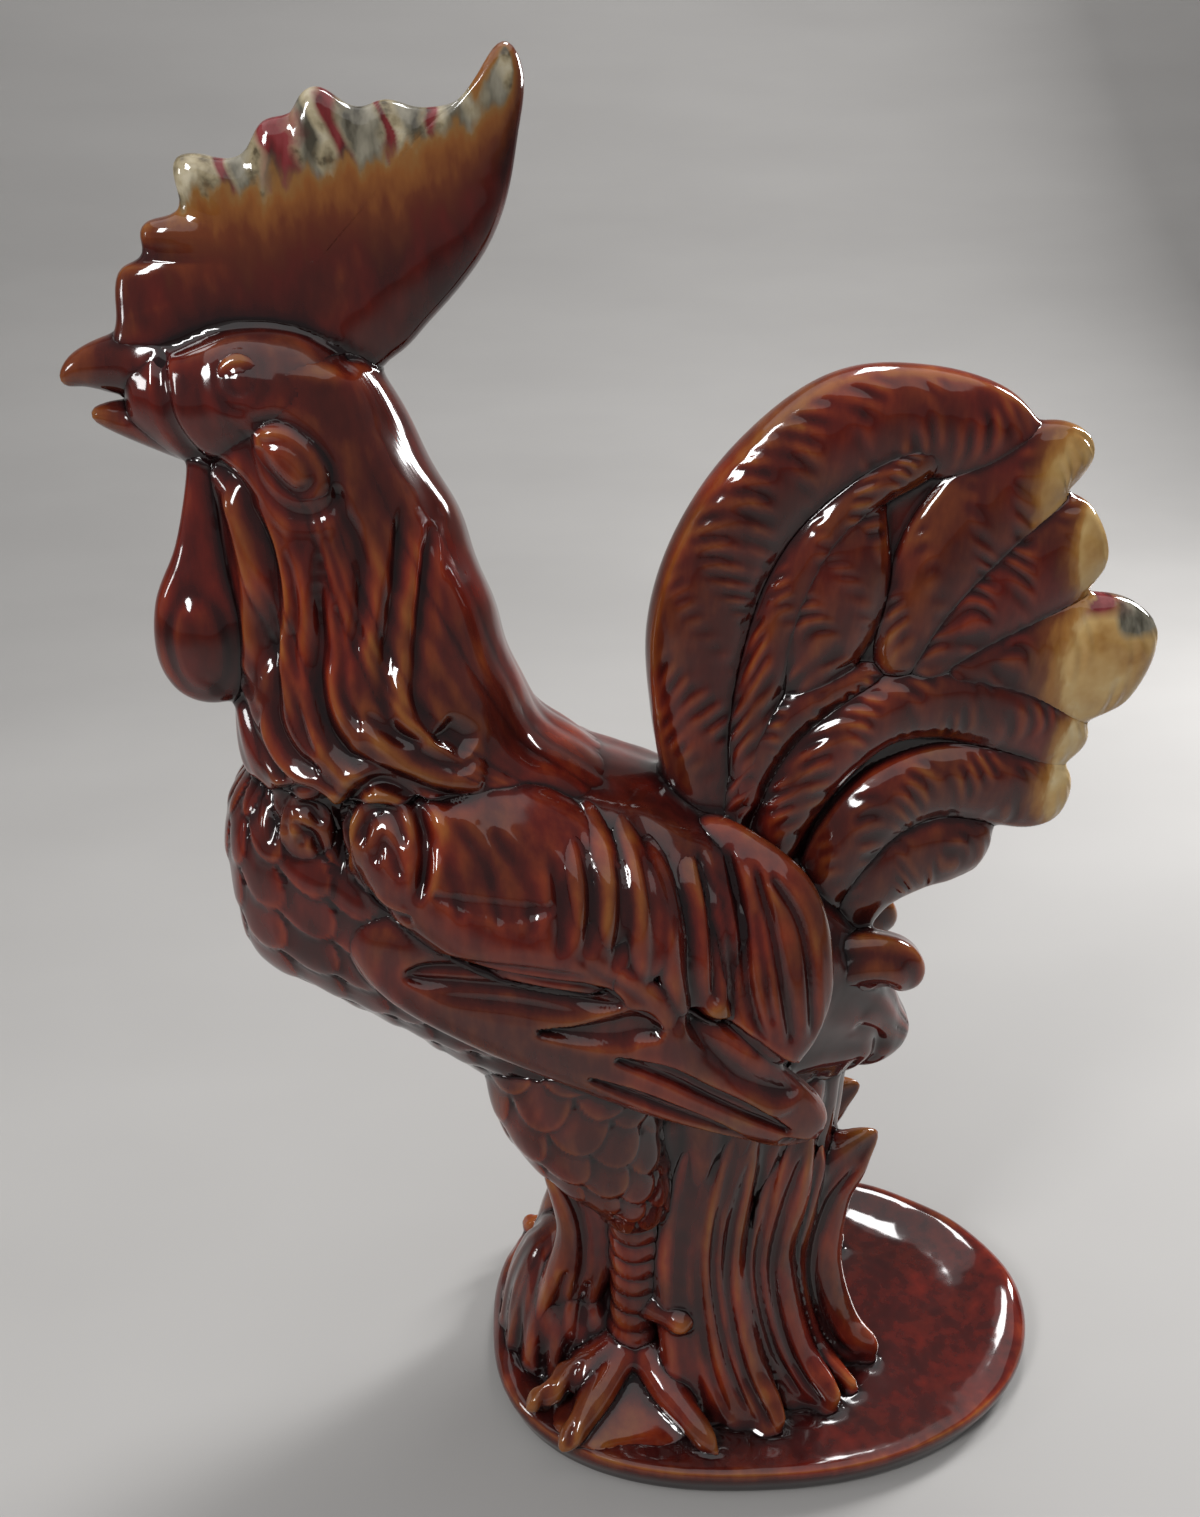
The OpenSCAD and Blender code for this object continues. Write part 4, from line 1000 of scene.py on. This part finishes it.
for name, (verts, quads, tris, heights) in forms.items():
    depth = at(union, verts)
    crease = hollowness(verts)
    verts = slipped(verts, depth)
    mesh = bpy.data.meshes.new(name + "_clay")
    mesh.from_pydata((verts * MM).tolist(), [], quads.tolist() + tris.tolist())
    normals = np.empty(3 * len(verts), np.float32)
    mesh.vertex_normals.foreach_get("vector", normals)
    normals = normals.reshape(-1, 3)
    sideways = 0 if name in undrawn else smooth(*SIDEWAYS, np.abs(normals[:, 1]))
    fine = heights * (1 - smooth(*FILLED, crease)) + at_side(drawn, verts) * sideways
    crease = gathered(name, verts, crease + SUNK_SHARE * at_side(sunk, verts) * sideways)
    glaze_pool_and_painted_light = pooled_with_painted_light(crease, heights, normals, verts)
    pressed = verts + normals * fine[:, None]
    mesh.vertices.foreach_set("co", (pressed * MM).astype(np.float32).ravel())
    put(mesh, "glaze_pool_and_painted_light", glaze_pool_and_painted_light)
    mesh.shade_smooth()
    piece = bpy.data.objects.new(name + "_clay", mesh)
    scene.collection.objects.link(piece)
    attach(piece, "root")
    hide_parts(name)
    pieces[name] = piece
    spread.append(glaze_pool_and_painted_light[depth > -1])
shares = np.percentile(np.concatenate(spread), (5, 25, 50, 75, 95))
print("pool on the outside:", [round(float(share), 2) for share in shares])

# %% [markdown]
# ## Where the tips stay pale
# On the comb and on some tail feathers the glaze ran off the tips, and the cream slip and a red
# underglaze show. The attribute "tip" says how near a point is to such an edge: height below the
# comb's top line, or reach from a point on the tail. Short brush strokes of red and grey cross the
# comb's edge and one tail tip, and "red" and "grey" say where. Along the comb's rear edge the brown
# is made darker, a painted shade.

# %% Tips
STROKE_SLANT, STROKE_WANDER = 0.25, 0.6
CREAM_DEPTH = 28.0
# Painted shade along the comb's rear edge, where the bevel turns away from the light.
REAR_EDGE_PAINTED_SHADE = 0.35
comb_top = [
    [-118, 276], [-112.5, 282.5], [-109, 283.5], [-102, 284.5], [-96, 286.5], [-90, 288.5],
    [-83.5, 289], [-80, 290.5], [-75, 292], [-71, 294], [-67, 295.5], [-62.5, 297.5], [-58.5, 298]]
tail_tips = {
    "upper_tail_feather": (57, 225, 20),
    "rear_tail_feather": (63, 214, 17),
    "broad_tail_feather": (68, 190, 24),
    "long_sickle": (65, 170, 16),
    "lower_sickle": (66, 162, 18)}
red_strokes = [(-104.3, 1.2), (-94.5, 3.8), (-85, 1.4), (-77.5, 0.8), (-70.5, 0.8)]
grey_strokes = [(-101.2, 2), (-89.8, 1.4), (-81, 3.2), (-73, 1.8), (-66.7, 2.4), (-60, 2.4)]


def comb_tip(x, z, rim):
    """The tip, red and grey attributes of the comb; rim is the distance to its outline."""
    below = np.interp(x, *np.transpose(comb_top)) - z
    bared = (1 - below / CREAM_DEPTH) * smooth(-120, -110, x)
    across = x + STROKE_SLANT * (4 - below) + STROKE_WANDER * np.sin(0.7 * z + 0.5 * x)
    painted = [sum(bump(across - middle, width) for middle, width in strokes)
               for strokes in (red_strokes, grey_strokes)]
    return bared - 0.5 * bump(rim, 2) * smooth(-66, -58, x), *painted


def tail_tip(name, x, z):
    """The same three attributes of a tail feather."""
    tip_x, tip_z, reach = tail_tips[name]
    broad = name == "broad_tail_feather"
    red = bump((x - 57) / 5, 1) * bump((z - 203) / 3, 1) * broad
    grey = smooth(193, 199, z) * smooth(58, 63, x) * broad
    return 1 - smooth(0.5, 1.3, np.hypot(x - tip_x, z - tip_z) / reach), red, grey


for name in ["comb", *tail_tips]:
    mesh = pieces[name].data
    xyz = np.empty(3 * len(mesh.vertices), np.float32)
    mesh.vertices.foreach_get("co", xyz)
    x, _, z = xyz.reshape(-1, 3).T / MM
    if name == "comb":
        outline = path(comb_edge, np.linspace(0, 1, 200))
        rim = np.min([np.hypot(x - px, z - pz) for px, pz in outline], 0)
        values = comb_tip(x, z, rim)
        glaze_pool_and_painted_light = np.empty(len(x), np.float32)
        mesh.attributes["glaze_pool_and_painted_light"].data.foreach_get("value", glaze_pool_and_painted_light)
        # The glaze depth is raised near the comb's rear edge: painted shade on the bevel that faces
        # away from the light.
        glaze_pool_and_painted_light = np.clip(glaze_pool_and_painted_light + REAR_EDGE_PAINTED_SHADE * bump(rim, 4) * smooth(-85, -70, x), 0, 1)
        mesh.attributes["glaze_pool_and_painted_light"].data.foreach_set("value", glaze_pool_and_painted_light.astype(np.float32))
    else:
        values = tail_tip(name, x, z)
    for key, value in zip(("tip", "red", "grey"), values):
        put(mesh, key, value)
print("pale tips on", ["comb", *tail_tips])

# %% [markdown]
# ## Colours and nodes
# Colours are written as they look on a screen and turned into the linear values that shaders take.
# One small function adds any node, and a ramp is filled from a list of places and colours.

# %% Node helpers
def colour(code):
    """sRGB hex to the linear values that shaders take."""
    c = np.array([int(code[i:i + 2], 16) for i in (1, 3, 5)]) / 255
    return (*np.where(c <= 0.04045, c / 12.92, ((c + 0.055) / 1.055) ** 2.4), 1.0)


def add(tree, kind, inputs=None, links=None, **settings):
    """One node: its settings, its constant inputs, and its links as input name to source socket."""
    node = tree.nodes.new("ShaderNode" + kind)
    for key, value in settings.items():
        setattr(node, key, value)
    for key, value in (inputs or {}).items():
        node.inputs[key].default_value = value
    for key, source in (links or {}).items():
        tree.links.new(source, node.inputs[key])
    return node


def ramp(node, stops):
    """Fills the ramp of a node and gives its colour socket."""
    bar = node.color_ramp
    while len(bar.elements) < len(stops):
        bar.elements.new(0.5)
    for element, (place, code) in zip(bar.elements, stops):
        element.position, element.color = place, colour(code)
    return node.outputs["Color"]


print("mid grey in linear light:", round(float(colour("#808080")[0]), 3))

# %% [markdown]
# ## Treacle brown
# Brown iron glaze over pale earthenware: thin, it is amber; thick, it is nearly black. The colour
# follows the glaze depth, which also holds painted light on high tops and painted shade along the
# comb's rear edge. Soft clouds and a finer mottle break it up, both drawn out downwards as the
# glaze ran. Rustier patches lie here and there. The sizes are in metres.

# %% Brown of the glaze
CLOUD_SIZE, MOTTLE_SIZE, RUST_SIZE = 0.011, 0.0035, 0.02
CLOUDS = {"Scale": 1 / CLOUD_SIZE, "Detail": 4.0, "Roughness": 0.6}
MOTTLE = {"Scale": 1 / MOTTLE_SIZE, "Detail": 3.0}
RUN = (1, 1, 0.4)
CLOUD_SHARE = 0.6
RUST_RANGE = {"From Min": 0.42, "From Max": 0.6}
TREACLE = [
    (0.05, "#7d4a20"), (0.24, "#652f16"), (0.44, "#451710"), (0.64, "#2c0e0d"), (0.92, "#140708")]
RUSTY = [
    (0.05, "#8c4a20"), (0.24, "#762b16"), (0.44, "#561710"), (0.64, "#350e0d"), (0.92, "#180809")]


def brown(tree, place):
    """Colour of the brown, then the unevenness, the clouds and the mottle it is made from."""
    runs = add(tree, "VectorMath", {1: RUN}, {0: place}, operation="MULTIPLY").outputs[0]
    clouds, mottle = (add(tree, "TexNoise", settings, {"Vector": runs}).outputs["Fac"]
                      for settings in (CLOUDS, MOTTLE))
    fine = add(tree, "Math", {1: 1 - CLOUD_SHARE, 2: -0.5}, {0: mottle}, operation="MULTIPLY_ADD")
    uneven = add(tree, "Math", {1: CLOUD_SHARE}, {0: clouds, 2: fine.outputs[0]},
                 operation="MULTIPLY_ADD").outputs[0]
    # Glaze depth, with painted light on high tops and painted shade at the comb's rear edge in it.
    glaze_pool_and_painted_light = add(tree, "Attribute", attribute_name="glaze_pool_and_painted_light").outputs["Fac"]
    depth = add(tree, "Math", None, {0: glaze_pool_and_painted_light, 1: uneven}, operation="ADD").outputs[0]
    tints = [ramp(add(tree, "ValToRGB", None, {"Fac": depth}), stops)
             for stops in (TREACLE, RUSTY)]
    rust = add(tree, "TexNoise", {"Scale": 1 / RUST_SIZE, "Detail": 2.0}, {"Vector": place})
    patch = add(tree, "MapRange", RUST_RANGE, {"Value": rust.outputs["Fac"]}).outputs[0]
    tint = add(tree, "Mix", None, {0: patch, 6: tints[0], 7: tints[1]}, data_type="RGBA")
    return tint.outputs[2], uneven, clouds, mottle


print("brown from", len(TREACLE), "depths of glaze")

# %% [markdown]
# ## Bare tips
# Towards a tip the brown thins to amber, and then the slip lies bare: cream and blotchy, with worn
# grey and red brush strokes over it. The ragged edge comes from the same unevenness as the brown.

# %% Bare slip
THIN_RANGE = {"From Min": 0.12, "From Max": 0.5}
BARE_RANGE = {"From Min": 0.66, "From Max": 0.78}
PAINT_RANGE = {"From Min": 0.75, "From Max": 1.3}
RED_STROKE = [(0.35, "#3f1616"), (0.5, "#6a2022"), (0.65, "#7c3234")]
GREY_STROKE = [(0.35, "#3d382d"), (0.5, "#6f6a5c"), (0.65, "#8a8474")]
COMB_EDGE = [
    (0.2, "#46190e"), (0.46, "#623016"), (0.6, "#7c4a20"), (0.68, "#7e592e"), (0.75, "#4c4638")]
COMB_SLIP = [(0.32, "#4e4432"), (0.42, "#84785e"), (0.54, "#a09478"), (0.7, "#b6ac94")]
TAIL_EDGE = [(0.2, "#4c1d10"), (0.42, "#6b3a1a"), (0.6, "#94642e"), (0.8, "#b08a50")]
TAIL_SLIP = [(0.3, "#966a33"), (0.45, "#b08a52"), (0.6, "#bf9f68"), (0.75, "#cbb68c")]


def bared(tree, place, tint, uneven, mottle, edge_stops, slip_stops, grain):
    """The brown thinned to edge colours and then to painted slip, by the tip attribute."""
    near = add(tree, "Attribute", attribute_name="tip").outputs["Fac"]
    ragged = add(tree, "Math", None, {0: near, 1: uneven}, operation="ADD").outputs[0]
    pale = ramp(add(tree, "ValToRGB", None, {"Fac": ragged}), edge_stops)
    blotch = add(tree, "TexNoise", {"Scale": 1 / grain, "Detail": 3.0},
                 {"Vector": place}).outputs["Fac"]
    painted = ramp(add(tree, "ValToRGB", None, {"Fac": blotch}), slip_stops)
    for key, stops in (("grey", GREY_STROKE), ("red", RED_STROKE)):
        stroke = add(tree, "Attribute", attribute_name=key).outputs["Fac"]
        streaky = add(tree, "Math", None, {0: stroke, 1: blotch}, operation="ADD")
        cover = add(tree, "MapRange", PAINT_RANGE, {"Value": streaky.outputs[0]}).outputs[0]
        paint = ramp(add(tree, "ValToRGB", None, {"Fac": mottle}), stops)
        painted = add(tree, "Mix", None, {0: cover, 6: painted, 7: paint},
                      data_type="RGBA").outputs[2]
    bare = add(tree, "MapRange", BARE_RANGE, {"Value": ragged}).outputs[0]
    edge = add(tree, "Mix", None, {0: bare, 6: pale, 7: painted}, data_type="RGBA").outputs[2]
    thin = add(tree, "MapRange", THIN_RANGE, {"Value": ragged}).outputs[0]
    return add(tree, "Mix", None, {0: thin, 6: tint, 7: edge}, data_type="RGBA").outputs[2]


print("slip colours:", len(COMB_SLIP) + len(TAIL_SLIP))

# %% [markdown]
# ## Pouring the glaze
# Glazes have an index near 1.55 and are almost mirror-smooth, so one glassy layer with a low
# roughness gives the wet shine. A faint swell of the surface bends the reflections, as a poured
# coat does. The slip on the comb is finer in grain than on the tail.

# %% Glaze
GLAZE_IOR = 1.55
SWELL_SIZE, SWELL_HEIGHT, SWELL_STRENGTH = 0.007, 0.0005, 0.25
GLOSS = {"To Min": 0.04, "To Max": 0.12}
COMB_GRAIN, TAIL_GRAIN = 0.003, 0.009


def glaze(name, *tip):
    """Brown glaze; with edge stops, slip stops and a grain, it runs off the tips."""
    material = bpy.data.materials.new(name)
    material.use_nodes = True
    tree = material.node_tree
    shader = tree.nodes["Principled BSDF"]
    place = add(tree, "NewGeometry").outputs["Position"]
    tint, uneven, clouds, mottle = brown(tree, place)
    if tip:
        tint = bared(tree, place, tint, uneven, mottle, *tip)
    swell = add(tree, "TexNoise", {"Scale": 1 / SWELL_SIZE, "Detail": 1.0}, {"Vector": place})
    bent = add(tree, "Bump", {"Strength": SWELL_STRENGTH, "Distance": SWELL_HEIGHT},
               {"Height": swell.outputs["Fac"]})
    haze = add(tree, "MapRange", GLOSS, {"Value": clouds})
    tree.links.new(tint, shader.inputs["Base Color"])
    tree.links.new(bent.outputs["Normal"], shader.inputs["Normal"])
    tree.links.new(haze.outputs[0], shader.inputs["Roughness"])
    shader.inputs["IOR"].default_value = GLAZE_IOR
    return material


treacle = glaze("treacle_brown_glaze")
comb_glaze = glaze("treacle_glaze_run_off_the_comb", COMB_EDGE, COMB_SLIP, COMB_GRAIN)
tail_glaze = glaze("treacle_glaze_run_off_the_tail", TAIL_EDGE, TAIL_SLIP, TAIL_GRAIN)
for name, piece in pieces.items():
    tipped = name == "comb" or name in tail_tips
    tip_glaze = comb_glaze if name == "comb" else tail_glaze
    piece.data.materials.append(tip_glaze if tipped else treacle)
print("glazed", len(pieces), "pieces")

# %% [markdown]
# ## Floor
# The bird stands on a roll of pale paper that sweeps up behind it, matt and a little uneven, so
# that it shows a soft shadow and nothing else.

# %% Floor
FLOOR_HALF = 4.0
sweep = [
    (-4, 0), (0.25, 0), (0.4, 0), (0.55, 0), (0.72, 0.03), (0.82, 0.12), (0.86, 0.3), (0.86, 1.6)]
verts = [(x, y, z) for y, z in sweep for x in (-FLOOR_HALF, FLOOR_HALF)]
faces = [(2 * i, 2 * i + 1, 2 * i + 3, 2 * i + 2) for i in range(len(sweep) - 1)]
mesh = bpy.data.meshes.new("studio_floor")
mesh.from_pydata(verts, [], faces)
floor = bpy.data.objects.new("studio_floor", mesh)
scene.collection.objects.link(floor)
eased = floor.modifiers.new("soft_bend", "SUBSURF")
eased.levels = eased.render_levels = 3
mesh.shade_smooth()
paper = bpy.data.materials.new("pale_paper")
paper.use_nodes = True
tree = paper.node_tree
fibre = add(tree, "TexNoise", {"Scale": 40.0, "Detail": 3.0}).outputs["Fac"]
shade = add(tree, "ValToRGB", None, {"Fac": fibre})
matt = add(tree, "MapRange", {"To Min": 0.7, "To Max": 0.9}, {"Value": fibre})
sheet = tree.nodes["Principled BSDF"].inputs
tree.links.new(ramp(shade, [(0.3, "#959391"), (0.7, "#9b9997")]), sheet["Base Color"])
tree.links.new(matt.outputs[0], sheet["Roughness"])
mesh.materials.append(paper)
print("floor from", sweep[0], "to", sweep[-1])

# %% [markdown]
# ## Light
# Soft boxes are what the glaze mirrors. One stands at the left as a window, one behind at the
# right, a small one in front and one above as a skylight. A wide, dim ceiling lays a pale veil on
# the dish and the shoulders, and a little light comes from everywhere.

# %% Light
def softbox(name, place, aim, size, watts):
    lamp = bpy.data.lights.new(name, "AREA")
    lamp.shape, lamp.size, lamp.size_y, lamp.energy = "RECTANGLE", size[0], size[1], watts
    box = bpy.data.objects.new(name, lamp)
    box.location = place
    box.rotation_euler = (Vector(aim) - Vector(place)).to_track_quat("-Z", "Y").to_euler()
    scene.collection.objects.link(box)


softbox("window_left", (-0.55, -0.5, 0.75), (0, 0, 0.16), (0.16, 0.3), 5.0)
softbox("window_right", (0.62, 0.42, 0.5), (0, 0, 0.18), (0.14, 0.38), 8.0)
softbox("window_front", (-0.85, -0.12, 0.42), (0, 0, 0.2), (0.08, 0.16), 0.6)
softbox("skylight", (0.15, 0.4, 1.0), (0, 0, 0.15), (0.2, 0.28), 4.0)
softbox("ceiling", (0, 0, 1.35), (0, 0, 0.15), (2.0, 2.4), 12.0)
world = bpy.data.worlds.new("room")
world.use_nodes = True
room = world.node_tree.nodes["Background"].inputs
room["Color"].default_value = colour("#c9cacd")
room["Strength"].default_value = 0.33
scene.world = world
scene.view_settings.view_transform = "Standard"
print("lamps:", len(bpy.data.lights))
